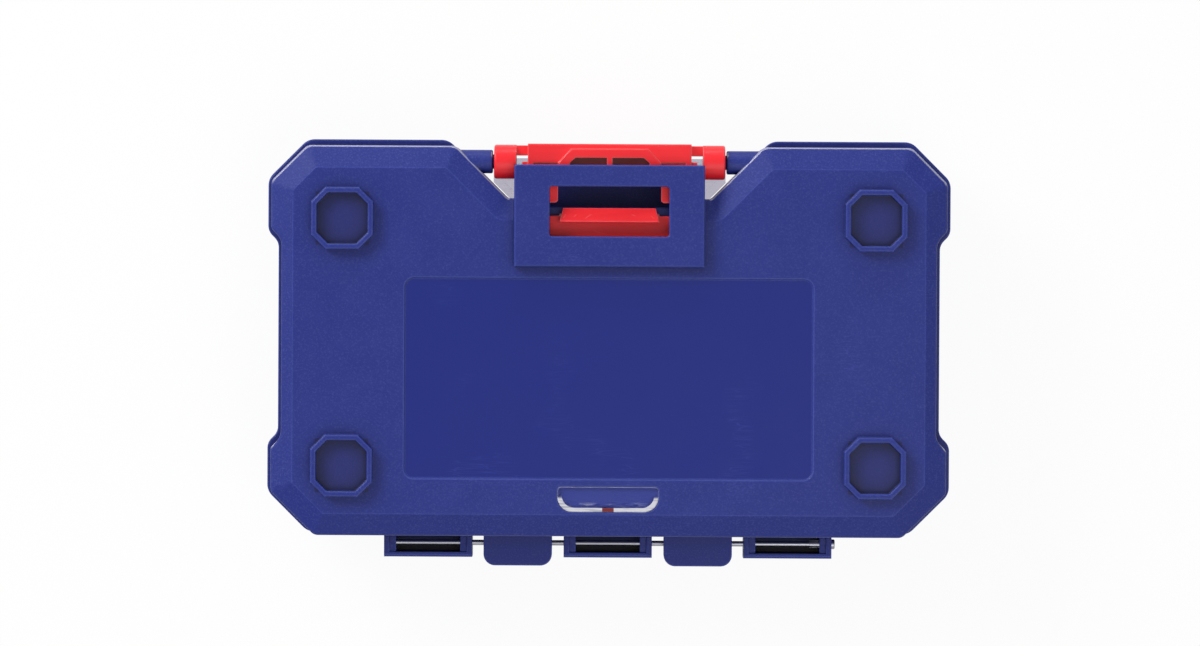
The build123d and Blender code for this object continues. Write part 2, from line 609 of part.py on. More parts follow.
with BuildPart() as front_frame:
    extrude(case_outline(0.0, RIM_WIDTH, 0.0, FRONT_NOTCH_INSET), PARTING_HEIGHT)
    chamfer(front_frame.faces().sort_by(Axis.Z)[0].edges(), FRONT_EDGE_CHAMFER)
    extrude(case_outline(PARTING_HEIGHT - RIM_HEIGHT, 0.0, 0.0, FRONT_NOTCH_INSET), RIM_HEIGHT)
    fillet(front_frame.faces().sort_by(Axis.Z)[-1].edges(), RIM_ROUND)
    extrude(case_outline(FACE_THICKNESS, RIM_WIDTH + WALL, WALL, FRONT_NOTCH_INSET + WALL),
            PARTING_HEIGHT - FACE_THICKNESS, mode=Mode.SUBTRACT)
    # lip that enters the rear shell, on a root that joins it to the wall
    with BuildSketch(Plane.XY.offset(PARTING_HEIGHT - LIP_ROOT)):
        add(case_outline(0.0, LIP_INSET, LIP_SIDE_INSET, LIP_SIDE_INSET))
        add(case_outline(0.0, LIP_INSET + LIP_THICKNESS, LIP_SIDE_INSET + LIP_THICKNESS,
                         LIP_SIDE_INSET + LIP_THICKNESS), mode=Mode.SUBTRACT)
    extrude(amount=LIP_HEIGHT + LIP_ROOT)
    with BuildSketch(Plane.XY.offset(PARTING_HEIGHT - LIP_ROOT)):
        add(case_outline(0.0, RIM_WIDTH + JOIN, JOIN, FRONT_NOTCH_INSET + JOIN))
        add(case_outline(0.0, LIP_INSET + LIP_THICKNESS, LIP_SIDE_INSET + LIP_THICKNESS,
                         LIP_SIDE_INSET + LIP_THICKNESS), mode=Mode.SUBTRACT)
    extrude(amount=LIP_ROOT)
    slab(-WELL_WALL_X - LIP_CLEARANCE, WELL_WALL_X + LIP_CLEARANCE, WELL_REAR - WALL - LIP_CLEARANCE,
         NOTCH_FLOOR, PARTING_HEIGHT, PARTING_HEIGHT + LIP_HEIGHT, mode=Mode.SUBTRACT)
    # window opening and the seat of the clear panel, which runs out into the notch
    with BuildSketch(Plane.XY.offset(-CUT)):
        with Locations((0, (OPENING_TOP + OPENING_BOTTOM) / 2)):
            RectangleRounded(2 * OPENING_HALF_WIDTH, OPENING_TOP - OPENING_BOTTOM, WINDOW_CORNER)
    extrude(amount=FACE_THICKNESS + 2 * CUT, mode=Mode.SUBTRACT)
    with BuildSketch(Plane.XY.offset(-CUT)):
        with Locations((0, (PLATE_TOP + PLATE_BOTTOM) / 2)):
            RectangleRounded(2 * (PLATE_HALF_WIDTH + WINDOW_FIT), PLATE_TOP - PLATE_BOTTOM + 2 * WINDOW_FIT,
                             WINDOW_CORNER)
        with Locations((0, (PLATE_TOP + NOTCH_FLOOR) / 2)):
            Rectangle(2 * (TONGUE_HALF_WIDTH + WINDOW_FIT), NOTCH_FLOOR - PLATE_TOP + 2 * TONGUE_INSET)
    extrude(amount=CUT + WINDOW_SET_BACK + WINDOW_PLATE, mode=Mode.SUBTRACT)
    # hinge boxes: open pockets that show the rod
    slab_row(BOX_XS, BOX_HALF_WIDTH, BOX_OUTER, HINGE_SIDE + JOIN, BOX_BOTTOM, PARTING_HEIGHT)
    slab_row(BOX_XS, BOX_HALF_WIDTH, BOX_OUTER, HINGE_SIDE - BOX_GAP, BOX_BOTTOM, HINGE_Z + BOX_RISE)
    box_edges = front_frame.edges().filter_by(Axis.X).filter_by(
        lambda e: abs(e.center().Y - BOX_OUTER) < HAIR)
    chamfer(box_edges, BOX_EDGE)
    slab_row(BOX_XS, BOX_POCKET, BOX_INNER, HINGE_SIDE, HINGE_Z + BOX_STEP_RISE, HINGE_Z + BOX_RISE + CUT,
             mode=Mode.SUBTRACT)
    slab_row(BOX_XS, BOX_POCKET - BOX_STEP, BOX_INNER, HINGE_SIDE - BOX_WINDOW_LIP,
             HINGE_Z - BOX_WINDOW_DEPTH, HINGE_Z + BOX_RISE + CUT, mode=Mode.SUBTRACT)
    cross_rod(-RIM_HALF_WIDTH, RIM_HALF_WIDTH, HINGE_Y, HINGE_Z, ROD_RADIUS + ROD_FIXED_CLEARANCE,
              mode=Mode.SUBTRACT)
save(front_frame.part, "front_frame")


# ---------------------------------------------------------------- front window with the keeper
def keeper_plan(shrink):
    """Trapezoid of the clear keeper inside the notch, drawn in by an amount."""
    floor_x = NOTCH_HALF_WIDTH - NOTCH_FIT * (1 + MITRE) - shrink
    top_x = KEEPER_HALF_WIDTH - shrink
    start_y = NOTCH_FLOOR - FRONT_NOTCH_INSET + NOTCH_FIT + shrink
    shoulder_y = start_y + top_x - floor_x
    with BuildSketch() as plan:
        with BuildLine():
            FilletPolyline((-floor_x, start_y), (floor_x, start_y), (top_x, shoulder_y),
                           (top_x, KEEPER_TOP - shrink), (-top_x, KEEPER_TOP - shrink),
                           (-top_x, shoulder_y), radius=[NOTCH_RADIUS, NOTCH_RADIUS, 0.0, 0.0, 0.0, 0.0],
                           close=True)
        make_face()
    return plan.sketch


with BuildPart() as front_window:
    with BuildSketch(Plane.XY.offset(WINDOW_SET_BACK)):
        with Locations((0, (PLATE_TOP + PLATE_BOTTOM) / 2)):
            RectangleRounded(2 * PLATE_HALF_WIDTH, PLATE_TOP - PLATE_BOTTOM, WINDOW_CORNER)
        with Locations((0, (PLATE_TOP + NOTCH_FLOOR) / 2)):
            Rectangle(2 * TONGUE_HALF_WIDTH, NOTCH_FLOOR - PLATE_TOP + TONGUE_INSET)
        add(keeper_plan(0.0))
    extrude(amount=WINDOW_PLATE)
    with BuildSketch(Plane.XY.offset(WINDOW_SET_BACK)):
        add(keeper_plan(0.0))
        add(keeper_plan(KEEPER_WALL), mode=Mode.SUBTRACT)
    extrude(amount=KEEPER_HEIGHT - WINDOW_SET_BACK)
    slab(-HOOK_HALF_WIDTH - KEEPER_LEDGE_MARGIN, HOOK_HALF_WIDTH + KEEPER_LEDGE_MARGIN,
         KEEPER_TOP - KEEPER_WALL / 2, KEEPER_LEDGE_TIP, KEEPER_HEIGHT - KEEPER_LEDGE, KEEPER_HEIGHT)
save(front_window.part, "front_window")

# ---------------------------------------------------------------- hinge rod
ROD_END = BOX_PITCH + BOX_HALF_WIDTH
KNURL_END = BOX_PITCH + BOX_POCKET - BOX_STEP
with BuildPart() as hinge_rod:
    cross_rod(ROD_END_SETBACK - ROD_END, ROD_END + ROD_HEAD_LENGTH / 2, HINGE_Y, HINGE_Z, ROD_RADIUS)
    cross_rod(ROD_END, ROD_END + ROD_HEAD_LENGTH, HINGE_Y, HINGE_Z, ROD_HEAD_RADIUS)
    fillet(hinge_rod.edges().filter_by(GeomType.CIRCLE).sort_by(Axis.X)[-1], ROD_HEAD_ROUND)
    with BuildSketch(Plane.YZ.offset(KNURL_END - KNURL_LENGTH)):
        with Locations((HINGE_Y, HINGE_Z)):
            Circle(KNURL_RADIUS - KNURL_DEPTH)
            with PolarLocations(KNURL_RADIUS - KNURL_DEPTH, KNURL_TEETH):
                Rectangle(2 * KNURL_DEPTH, KNURL_TOOTH)
    extrude(amount=KNURL_LENGTH)
save(hinge_rod.part, "hinge_rod")

# ---------------------------------------------------------------- lock cover
with BuildPart() as lock_cover:
    slab(-COVER_HALF_WIDTH, COVER_HALF_WIDTH, COVER_BOTTOM, COVER_TOP, COVER_Z, COVER_Z_TOP)
    with BuildSketch(Plane.XY.offset(COVER_Z)):
        with Locations((0, (WINDOW_TOP + WINDOW_BOTTOM) / 2)):
            RectangleRounded(2 * WINDOW_HALF_WIDTH, WINDOW_TOP - WINDOW_BOTTOM, WINDOW_RADIUS)
    extrude(amount=COVER_THICKNESS, mode=Mode.SUBTRACT)
    fillet(lock_cover.edges().filter_by(Axis.Z).group_by(SortBy.DISTANCE)[-1], COVER_CORNER_ROUND)
    fillet(lock_cover.faces().sort_by(Axis.Z)[-1].edges(), COVER_ROUND)
    # pads that stand on the shell, skirts that close the sides, and the foot
    slab_pair(COVER_HALF_WIDTH - COVER_PAD_WIDTH, COVER_HALF_WIDTH, COVER_BOTTOM, COVER_PAD_TOP,
              CASE_HEIGHT, COVER_Z + COVER_PAD_ROOT)
    slab_pair(COVER_HALF_WIDTH - COVER_SKIRT, COVER_HALF_WIDTH, COVER_PAD_TOP, COVER_TOP,
              COVER_SKIRT_BOTTOM, COVER_Z + COVER_PAD_ROOT)
    slab(-COVER_HALF_WIDTH, COVER_HALF_WIDTH, COVER_BOTTOM, COVER_BOTTOM + COVER_FOOT_WIDTH,
         CASE_HEIGHT, COVER_Z + COVER_PAD_ROOT)
    pillars(COVER_SCREW_SPOTS, CASE_HEIGHT - CUT, COVER_HOLE_TOP, SCREW_RADIUS + SCREW_CLEARANCE,
            mode=Mode.SUBTRACT)
save(lock_cover.part, "lock_cover")

# ---------------------------------------------------------------- cover screws
with BuildPart() as lock_cover_screws:
    pillars(COVER_SCREW_SPOTS, CAVITY_TOP - SCREW_HEAD_HEIGHT, CAVITY_TOP, SCREW_HEAD_RADIUS)
    pillars(COVER_SCREW_SPOTS, CAVITY_TOP - SCREW_HEAD_HEIGHT / 2, COVER_HOLE_TOP - SCREW_TIP_GAP,
            SCREW_RADIUS)
save(lock_cover_screws.part, "lock_cover_screws")

# ---------------------------------------------------------------- lock slide
with BuildPart() as lock_slider:
    slab(-SLIDE_HALF_WIDTH, SLIDE_HALF_WIDTH, SLIDE_BOTTOM, SLIDE_TOP, SLIDE_Z, SLIDE_Z_TOP)
    fillet(lock_slider.edges().filter_by(Axis.X).group_by(Axis.Z)[-1], SLIDE_ROUND)
    with BuildSketch(Plane.YZ.offset(-RAMP_HALF_WIDTH)):
        with BuildLine():
            Polyline((RAMP_BOTTOM + RAMP_ROOT, SLIDE_Z_TOP - RAMP_ROOT),
                     (RAMP_BOTTOM, RAMP_CREST - RAMP_EDGE), (RAMP_BOTTOM + RAMP_EDGE, RAMP_CREST),
                     (RAMP_TOP, SLIDE_Z_TOP + RAMP_TIP_HEIGHT),
                     (RAMP_TOP, SLIDE_Z_TOP + RAMP_TIP_FLOOR),
                     (SLIDE_TOP - RAMP_TIP_FLOOR, SLIDE_Z_TOP - RAMP_ROOT), close=True)
        make_face()
    extrude(amount=2 * RAMP_HALF_WIDTH)
    for side in (-1, 1):
        with BuildSketch(Plane.XY.offset(SLIDE_Z_TOP)):
            with BuildLine():
                Polyline((side * RAMP_HALF_WIDTH, RAMP_BOTTOM),
                         (side * (RAMP_HALF_WIDTH - RAMP_END_TAPER), RAMP_TOP + HAIR),
                         (side * (RAMP_HALF_WIDTH + CUT), RAMP_TOP + HAIR),
                         (side * (RAMP_HALF_WIDTH + CUT), RAMP_BOTTOM), close=True)
            make_face()
        extrude(amount=RAMP_CREST - SLIDE_Z_TOP + CUT, mode=Mode.SUBTRACT)
save(lock_slider.part, "lock_slider")

# ---------------------------------------------------------------- detent spring
with BuildPart() as lock_detent_spring:
    with BuildSketch(Plane.YZ.offset(-SPRING_WIDTH / 2)):
        with BuildLine():
            leaf_end = SPRING_Y + SPRING_LENGTH
            crest_y = SPRING_Y + SPRING_LENGTH / 2
            leaf_top = SPRING_Z + SPRING_THICKNESS
            Polyline((SPRING_Y, SPRING_Z), (SPRING_Y + SPRING_FOOT, SPRING_Z),
                     (crest_y, SPRING_Z + SPRING_BOW), (leaf_end - SPRING_FOOT, SPRING_Z),
                     (leaf_end, SPRING_Z), (leaf_end, leaf_top),
                     (leaf_end - SPRING_FOOT, leaf_top), (crest_y, leaf_top + SPRING_BOW),
                     (SPRING_Y + SPRING_FOOT, leaf_top), (SPRING_Y, leaf_top), close=True)
        make_face()
    extrude(amount=SPRING_WIDTH)
save(lock_detent_spring.part, "lock_detent_spring")

# ---------------------------------------------------------------- latch
with BuildPart() as latch:
    # front panel, deck and the lower ledge behind it
    slab(-LATCH_HALF_WIDTH, LATCH_HALF_WIDTH, PANEL_REAR, LATCH_FRONT, HOOK_BOTTOM, DECK_TOP)
    slab(-LATCH_HALF_WIDTH, LATCH_HALF_WIDTH, LEDGE_FRONT, LATCH_FRONT, DECK_BOTTOM, DECK_TOP)
    slab(-LEDGE_HALF_WIDTH, LEDGE_HALF_WIDTH, DECK_REAR, LEDGE_FRONT + LEDGE_SETBACK,
         DECK_BOTTOM, DECK_TOP - LEDGE_STEP)
    # hook under the keeper, and the ribs of the finger grip
    slab(-HOOK_HALF_WIDTH, HOOK_HALF_WIDTH, LATCH_FRONT - HOOK_REACH, LATCH_FRONT, HOOK_BOTTOM,
         HOOK_BOTTOM + HOOK_THICKNESS)
    for rib in range(GRIP_RIBS):
        rib_z = HOOK_BOTTOM + GRIP_RIB_PITCH * (rib + 1) - GRIP_RIB_HEIGHT
        slab(-HOOK_HALF_WIDTH, HOOK_HALF_WIDTH, LATCH_FRONT - JOIN, LATCH_FRONT + GRIP_DEPTH,
             rib_z, rib_z + GRIP_RIB_HEIGHT)
    # arms that the slide blocks, end ribs of the lever, and the bars that bridge to the sleeves
    slab_pair(ARM_INNER_X, ARM_OUTER_X, ARM_TIP, DECK_REAR + JOIN, DECK_BOTTOM, DECK_TOP)
    slab_pair(LATCH_HALF_WIDTH - END_RIB_WIDTH, LATCH_HALF_WIDTH, LATCH_Y - END_RIB_WIDTH, LATCH_FRONT,
              BRIDGE_BOTTOM, DECK_TOP)
    slab_pair(LATCH_HALF_WIDTH - JOIN, SLEEVE_INNER_X + JOIN, BRIDGE_REAR, LATCH_FRONT - BRIDGE_SETBACK,
              BRIDGE_BOTTOM, BRIDGE_TOP)
    cross_rod_pair(SLEEVE_INNER_X, SLEEVE_OUTER_X, LATCH_Y, LATCH_Z, SLEEVE_RADIUS)
    arm_tips = latch.edges().filter_by(Axis.Z).filter_by(lambda e: abs(e.center().Y - ARM_TIP) < HAIR)
    fillet(arm_tips, ARM_TIP_ROUND)
    deck_front = latch.edges().filter_by(Axis.X).filter_by(
        lambda e: abs(e.center().Y - LATCH_FRONT) < HAIR and abs(e.center().Z - DECK_TOP) < HAIR)
    fillet(deck_front, DECK_ROUND)
    # raised frame on the deck, with two pockets beside a rib
    with BuildSketch(Plane.XY.offset(DECK_TOP - LEDGE_STEP)):
        with BuildLine():
            Polyline((-FRAME_HALF_WIDTH, LEDGE_FRONT - FRAME_REAR), (-FRAME_HALF_WIDTH, LEDGE_FRONT),
                     (-FRAME_TOP_HALF_WIDTH, LATCH_FRONT - FRAME_FRONT_SETBACK),
                     (FRAME_TOP_HALF_WIDTH, LATCH_FRONT - FRAME_FRONT_SETBACK),
                     (FRAME_HALF_WIDTH, LEDGE_FRONT), (FRAME_HALF_WIDTH, LEDGE_FRONT - FRAME_REAR),
                     close=True)
        make_face()
    extrude(amount=FRAME_RAISE + LEDGE_STEP)
    fillet(latch.faces().sort_by(Axis.Z)[-1].edges(), FRAME_ROUND)
    with BuildSketch(Plane.XY.offset(DECK_BOTTOM + POCKET_FLOOR)):
        for side in (-1, 1):
            near = side * POCKET_RIB / 2
            far = near + side * POCKET_WIDTH
            with BuildLine():
                Polyline((near, LEDGE_FRONT - POCKET_REAR), (far, LEDGE_FRONT - POCKET_REAR),
                         (far, LEDGE_FRONT), (far - side * POCKET_TAPER, LEDGE_FRONT + POCKET_FRONT),
                         (near, LEDGE_FRONT + POCKET_FRONT), close=True)
            make_face()
    extrude(amount=DECK_THICKNESS, mode=Mode.SUBTRACT)
    # bores for the spigots
    cross_rod_pair(SLEEVE_INNER_X - HAIR, SLEEVE_OUTER_X + CUT, LATCH_Y, LATCH_Z,
                   SPIGOT_RADIUS + SPIGOT_CLEARANCE, mode=Mode.SUBTRACT)
    sleeve_ends = latch.edges().filter_by(GeomType.CIRCLE).filter_by(
        lambda e: abs(e.radius - SLEEVE_RADIUS) < HAIR and abs(abs(e.center().X) - SLEEVE_OUTER_X) < HAIR)
    fillet(sleeve_ends, SLEEVE_ROUND)
save(latch.part, "latch")

# ---------------------------------------------------------------- sight lens and marker
with BuildPart() as sight_lens:
    extrude(lens_outline(LENS_SEAT, 0.0), LENS_TOP_Z - LENS_SEAT)
    fillet(sight_lens.faces().sort_by(Axis.Z)[-1].edges(), LENS_ROUND)
    extrude(lens_outline(DISH_Z, -LENS_RIM), LENS_DISH + CUT, mode=Mode.SUBTRACT)
    slab(-MARKER_WIDTH / 2 - MARKER_CLEARANCE, MARKER_WIDTH / 2 + MARKER_CLEARANCE, LENS_BOTTOM - CUT,
         LENS_BOTTOM + LENS_RIM + CUT, DISH_Z, CASE_HEIGHT + CUT, mode=Mode.SUBTRACT)
save(sight_lens.part, "sight_lens")

with BuildPart() as sight_marker:
    slab(-MARKER_WIDTH / 2, MARKER_WIDTH / 2, LENS_BOTTOM + MARKER_SINK, LENS_BOTTOM + MARKER_HEIGHT,
         DISH_Z, LENS_TOP_Z - MARKER_SINK)
save(sight_marker.part, "sight_marker")

# ---------------------------------------------------------------- tray, posts, clips and screws
with BuildPart() as socket_tray:
    extrude(case_outline(TRAY_Z, CAVITY_INSET + TRAY_CLEARANCE, WALL + TRAY_CLEARANCE,
                         WALL + TRAY_CLEARANCE), TRAY_THICKNESS)
    slab(-WELL_WALL_X - TRAY_CLEARANCE, WELL_WALL_X + TRAY_CLEARANCE, WELL_REAR - WALL - TRAY_CLEARANCE,
         NOTCH_FLOOR, TRAY_Z, TRAY_TOP, mode=Mode.SUBTRACT)
    pillars(TRAY_SCREW_SPOTS, TRAY_Z - CUT, TRAY_TOP + CUT, SCREW_RADIUS + SCREW_CLEARANCE,
            mode=Mode.SUBTRACT)
save(socket_tray.part, "socket_tray")

POST_SPOTS = [((index - (POSTS_PER_ROW - 1) / 2) * POST_PITCH, HINGE_SIDE + row)
              for row in POST_ROW_OFFSETS for index in range(POSTS_PER_ROW)]
with BuildPart() as socket_posts:
    pillars(POST_SPOTS, TRAY_Z - POST_LENGTH, TRAY_Z, POST_RADIUS)
    chamfer(socket_posts.edges().filter_by(GeomType.CIRCLE).group_by(Axis.Z)[0], POST_CHAMFER)
save(socket_posts.part, "socket_posts")

CLIP_XS = (-CLIP_SPACING / 2, CLIP_SPACING / 2)
CLIP_OUTER = CLIP_GAP / 2 + CLIP_WALL
with BuildPart() as ratchet_clips:
    slab_row(CLIP_XS, CLIP_WIDTH / 2, CLIP_Y - CLIP_OUTER, CLIP_Y + CLIP_OUTER, TRAY_Z - CLIP_HEIGHT, TRAY_Z)
    slab_row(CLIP_XS, CLIP_WIDTH / 2 + CUT, CLIP_Y - CLIP_GAP / 2, CLIP_Y + CLIP_GAP / 2,
             TRAY_Z - CLIP_HEIGHT - CUT, TRAY_Z - CLIP_WALL, mode=Mode.SUBTRACT)
save(ratchet_clips.part, "ratchet_clips")

with BuildPart() as tray_screws:
    pillars(TRAY_SCREW_SPOTS, TRAY_Z - SCREW_HEAD_HEIGHT, TRAY_Z, SCREW_HEAD_RADIUS)
    pillars(TRAY_SCREW_SPOTS, TRAY_Z - SCREW_HEAD_HEIGHT / 2, TRAY_TOP + SCREW_GRIP - BOSS_RELIEF,
            SCREW_RADIUS)
save(tray_screws.part, "tray_screws")
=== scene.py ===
"""Hinged socket case in moulded plastic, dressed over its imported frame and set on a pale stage."""
from math import radians

import bpy
from mathutils import Matrix, Quaternion, Vector


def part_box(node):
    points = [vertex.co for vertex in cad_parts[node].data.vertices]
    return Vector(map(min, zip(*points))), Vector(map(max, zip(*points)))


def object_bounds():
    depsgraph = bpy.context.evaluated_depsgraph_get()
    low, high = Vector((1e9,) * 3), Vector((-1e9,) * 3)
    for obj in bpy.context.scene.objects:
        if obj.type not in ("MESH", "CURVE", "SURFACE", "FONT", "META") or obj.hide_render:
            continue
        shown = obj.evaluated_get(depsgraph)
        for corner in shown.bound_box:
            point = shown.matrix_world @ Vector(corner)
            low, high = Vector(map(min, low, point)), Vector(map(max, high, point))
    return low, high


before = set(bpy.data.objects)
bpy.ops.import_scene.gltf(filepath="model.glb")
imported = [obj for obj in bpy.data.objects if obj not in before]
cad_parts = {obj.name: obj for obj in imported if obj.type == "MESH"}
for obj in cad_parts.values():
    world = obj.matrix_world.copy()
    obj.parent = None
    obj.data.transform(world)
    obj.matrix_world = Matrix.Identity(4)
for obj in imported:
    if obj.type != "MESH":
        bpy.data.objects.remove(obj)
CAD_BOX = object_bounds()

bl_info = {
    "name": "Hinged socket case",
    "version": (1, 0, 0),
    "blender": (4, 5, 0),
    "location": "View3D > Sidebar > Socket case",
    "description": "Finishes and stage for a hinged socket case",
    "category": "Object",
}

BLUE_NODES = ("rear_shell", "front_frame", "lock_cover")
RED_NODES = ("latch", "lock_slider", "sight_marker")
STEEL_NODES = ("hinge_rod", "lock_cover_screws", "tray_screws", "lock_detent_spring")
INSERT_NODES = ("socket_tray", "socket_posts", "ratchet_clips")

CASE_LOW, CASE_HIGH = CAD_BOX

# Places on the closed case, in metres: lowest and highest corner of each. The ring is the one at +X and
# +Y, onto which the other three are folded.
LABEL_RECESS = ((-0.0736, -0.0449, 0.0453), (0.0736, 0.0274, 0.04575))
RING_FLOOR = ((0.0865, 0.0349, 0.0459), (0.1058, 0.0542, 0.0461))
LENS_SEAT = ((-0.019, -0.0573, 0.0444), (0.019, -0.0472, 0.0459))
HINGE_POCKETS = ((-0.09, -0.0735, 0.005), (0.09, -0.0659, 0.0168))
SLIDE_PLATE = ((-0.027, 0.036, 0.043), (0.027, 0.0505, 0.0459))
LATCH_POCKETS = ((-0.016, 0.0667, 0.0424), (0.016, 0.0715, 0.0436))
MARKER = ((-0.003, -0.058, 0.044), (0.003, -0.054, 0.0465))

# Single coordinates on the closed case, in metres.
RINGS_MIDDLE_Y = 0.00415
MARGIN_LOW_Z = 0.0422
LATCH_EDGE_Y = 0.0745
POCKET_MOUTH_Y, POCKET_DEEP_Y = -0.0687, -0.0702
SCRATCH_CENTRE = (0.004, 0.039)

# Values that pick faces out, each with its tolerance: the upward part of a face's normal, or a height.
MARGIN_TILT = (0.916, 0.03)
ROUNDED_EDGE_TILT = (0.5, 0.36)
ROUNDED_EDGE_Z = (0.0417, 0.0012)

# On the lens, in metres, from its own box: how far under its top the rim and its slope end, where the light
# painted on the rim starts and over what length, and the two edges of the rubbed band.
LENS_RIM_DEPTH = 0.00045
LENS_SLOPE_DEPTH = 0.00065
LENS_PAINTED_LIGHT = (0.0033, 0.0012)
LENS_RUB_BAND = (0.0042, 0.0022)

WHITE = (1.0, 1.0, 1.0, 1.0)
# pale blue of the highlight painted along the rounded top edges
PAINTED_HIGHLIGHT = (0.36, 0.36, 0.52, 1.0)
# near black of the shade painted into corners, with some dust
CORNER_SHADE = (0.002, 0.003, 0.03, 1.0)
# paler blue painted on the seat under the lens, as the light that comes through it
LIGHT_UNDER_LENS = (0.028, 0.043, 0.27, 1.0)
# near black of the shade painted in the hinge pockets
PAINTED_HINGE_SHADE = (0.002, 0.002, 0.006, 1.0)
# deep red of the shade painted in the latch pockets and on the marker
PAINTED_SHADE_RED = (0.1, 0.0, 0.004, 1.0)
LENS_BODY = (0.2, 0.26, 0.75, 1.0)
LENS_STREAK = (0.3, 0.3, 0.42, 1.0)

# Lamps: name, place, width, height and the setting that holds the power.
LAMPS = (
    ("key_lamp", (-1.3, 1.1, 1.0), 0.9, 0.7, "key_power"),
    ("edge_lamp", (-0.15, 1.3, 0.32), 1.5, 0.14, "edge_power"),
    ("fill_lamp", (0.5, -0.75, 1.7), 1.2, 1.2, "fill_power"),
)
LAMP_AIM = (0.0, 0.0, 0.03)
FLOOR_SIZE = 6.0
FLOOR_GLOW = 0.93

# The camera, in metres, with its roll in degrees.
CAMERA_Y = 0.045
CAMERA_AIM = (-0.0032, 0.0114)
CAMERA_AIM_DEPTH = 0.0035
CAMERA_ROLL = -0.3


# ---------------------------------------------------------------- node helpers
def add_node(tree, kind, settings=None, **inputs):
    """A new node, with its settings, and its inputs set to values or linked from sockets."""
    made = tree.nodes.new(kind)
    for name, value in (settings or {}).items():
        setattr(made, name, value)
    for name, value in inputs.items():
        socket = made.inputs[int(name[1:])] if name[1:].isdigit() else made.inputs[name.replace("_", " ")]
        if isinstance(value, bpy.types.NodeSocket):
            tree.links.new(value, socket)
        else:
            socket.default_value = value
    return made


def math(tree, operation, first, second=0.0, third=0.0):
    """The result of a Math node."""
    return add_node(tree, "ShaderNodeMath", {"operation": operation}, i0=first, i1=second,
                    i2=third).outputs[0]


def product(tree, *values):
    """Some values multiplied together."""
    result = values[0]
    for value in values[1:]:
        result = math(tree, "MULTIPLY", result, value)
    return result


def greatest(tree, *values):
    """The greatest of some values."""
    result = values[0]
    for value in values[1:]:
        result = math(tree, "MAXIMUM", result, value)
    return result


def ramp(tree, value, low, high, to_low=0.0, to_high=1.0):
    """A value stretched from one range to another, clamped."""
    return add_node(tree, "ShaderNodeMapRange", {"clamp": True}, i0=value, i1=low, i2=high,
                    i3=to_low, i4=to_high).outputs[0]


def mix_colour(tree, share, first, second):
    """Two colours mixed by a share."""
    return add_node(tree, "ShaderNodeMix", {"data_type": "RGBA", "clamp_factor": True},
                    i0=share, i6=first, i7=second).outputs[2]


def split_xyz(tree, vector):
    """The three parts of a vector."""
    return add_node(tree, "ShaderNodeSeparateXYZ", Vector=vector).outputs


def mapped(tree, vector, **changes):
    """A vector moved, turned or scaled."""
    return add_node(tree, "ShaderNodeMapping", Vector=vector, **changes).outputs[0]


def noise(tree, vector, scale, detail, **changes):
    """The value of a noise at a place."""
    return add_node(tree, "ShaderNodeTexNoise", Vector=vector, Scale=scale, Detail=detail,
                    **changes).outputs[0]


def seen_directly(tree):
    """1 for the camera, for reflections and for what shows through clear plastic."""
    path = add_node(tree, "ShaderNodeLightPath").outputs
    return greatest(tree, path["Is Camera Ray"], path["Is Glossy Ray"], path["Is Transmission Ray"])


def new_group(name, inputs, outputs):
    """An empty shader node group with its sockets: (tree, input sockets, output node)."""
    tree = bpy.data.node_groups.new(name, "ShaderNodeTree")
    for label, kind, default in inputs:
        socket = tree.interface.new_socket(name=label, in_out="INPUT", socket_type=kind)
        if default is not None:
            socket.default_value = default
    for label, kind in outputs:
        tree.interface.new_socket(name=label, in_out="OUTPUT", socket_type=kind)
    return tree, tree.nodes.new("NodeGroupInput").outputs, tree.nodes.new("NodeGroupOutput")


def use_group(tree, name, **inputs):
    """The outputs of a shared group placed in a material."""
    return add_node(tree, "ShaderNodeGroup", {"node_tree": bpy.data.node_groups[name]}, **inputs).outputs


def zone(tree, place, corners):
    """1 inside a box, given as its lowest and highest corner in metres."""
    low, high = corners
    return use_group(tree, "Zone", Vector=place, Low=low, High=high)["Mask"]


def feed(tree, shader, **sources):
    """Link sockets to the shader's inputs of those names."""
    for name, source in sources.items():
        tree.links.new(source, shader.inputs[name.replace("_", " ")])


def set_bump(tree, shader, height, distance, normal=None):
    """Feed a height, over a base normal where one is given, to the shader through a Bump node."""
    bump = add_node(tree, "ShaderNodeBump", Height=height, Distance=distance)
    if normal:
        tree.links.new(normal, bump.inputs["Normal"])
    feed(tree, shader, Normal=bump.outputs[0])


def rgba(colour, strength=1.0):
    """A colour property, made darker or paler by a factor, as the four numbers that a socket takes."""
    return (*(strength * channel for channel in colour), 1.0)


def start_material(name):
    """A material with its tree, object coordinates and its Principled shader."""
    material = bpy.data.materials.new(name)
    material.use_nodes = True
    tree = material.node_tree
    place = add_node(tree, "ShaderNodeTexCoord").outputs["Object"]
    return material, tree, place, tree.nodes["Principled BSDF"]


def facing(tree):
    """How far a face looks along x, y and z of its object's own space."""
    return split_xyz(tree, add_node(tree, "ShaderNodeTexCoord").outputs["Normal"])


def dress(nodes, material):
    """Put a material on some CAD nodes."""
    for name in nodes:
        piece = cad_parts[name]
        piece.data.materials.clear()
        piece.data.materials.append(material)


# ---------------------------------------------------------------- shared effects
def build_grain_group():
    """Grain of a spark-eroded mould: fine height, slow mottle."""
    tree, given, out = new_group(
        "Mould grain",
        [("Vector", "NodeSocketVector", None), ("Size", "NodeSocketFloat", 0.0007)],
        [("Height", "NodeSocketFloat"), ("Mottle", "NodeSocketFloat")])
    fineness = math(tree, "DIVIDE", 1.0, given["Size"])
    pits = noise(tree, given["Vector"], fineness, 3.0, Roughness=0.65)
    blotch = noise(tree, given["Vector"], math(tree, "MULTIPLY", fineness, 0.04), 4.0, Roughness=0.6)
    tree.links.new(pits, out.inputs["Height"])
    tree.links.new(ramp(tree, blotch, 0.32, 0.68), out.inputs["Mottle"])


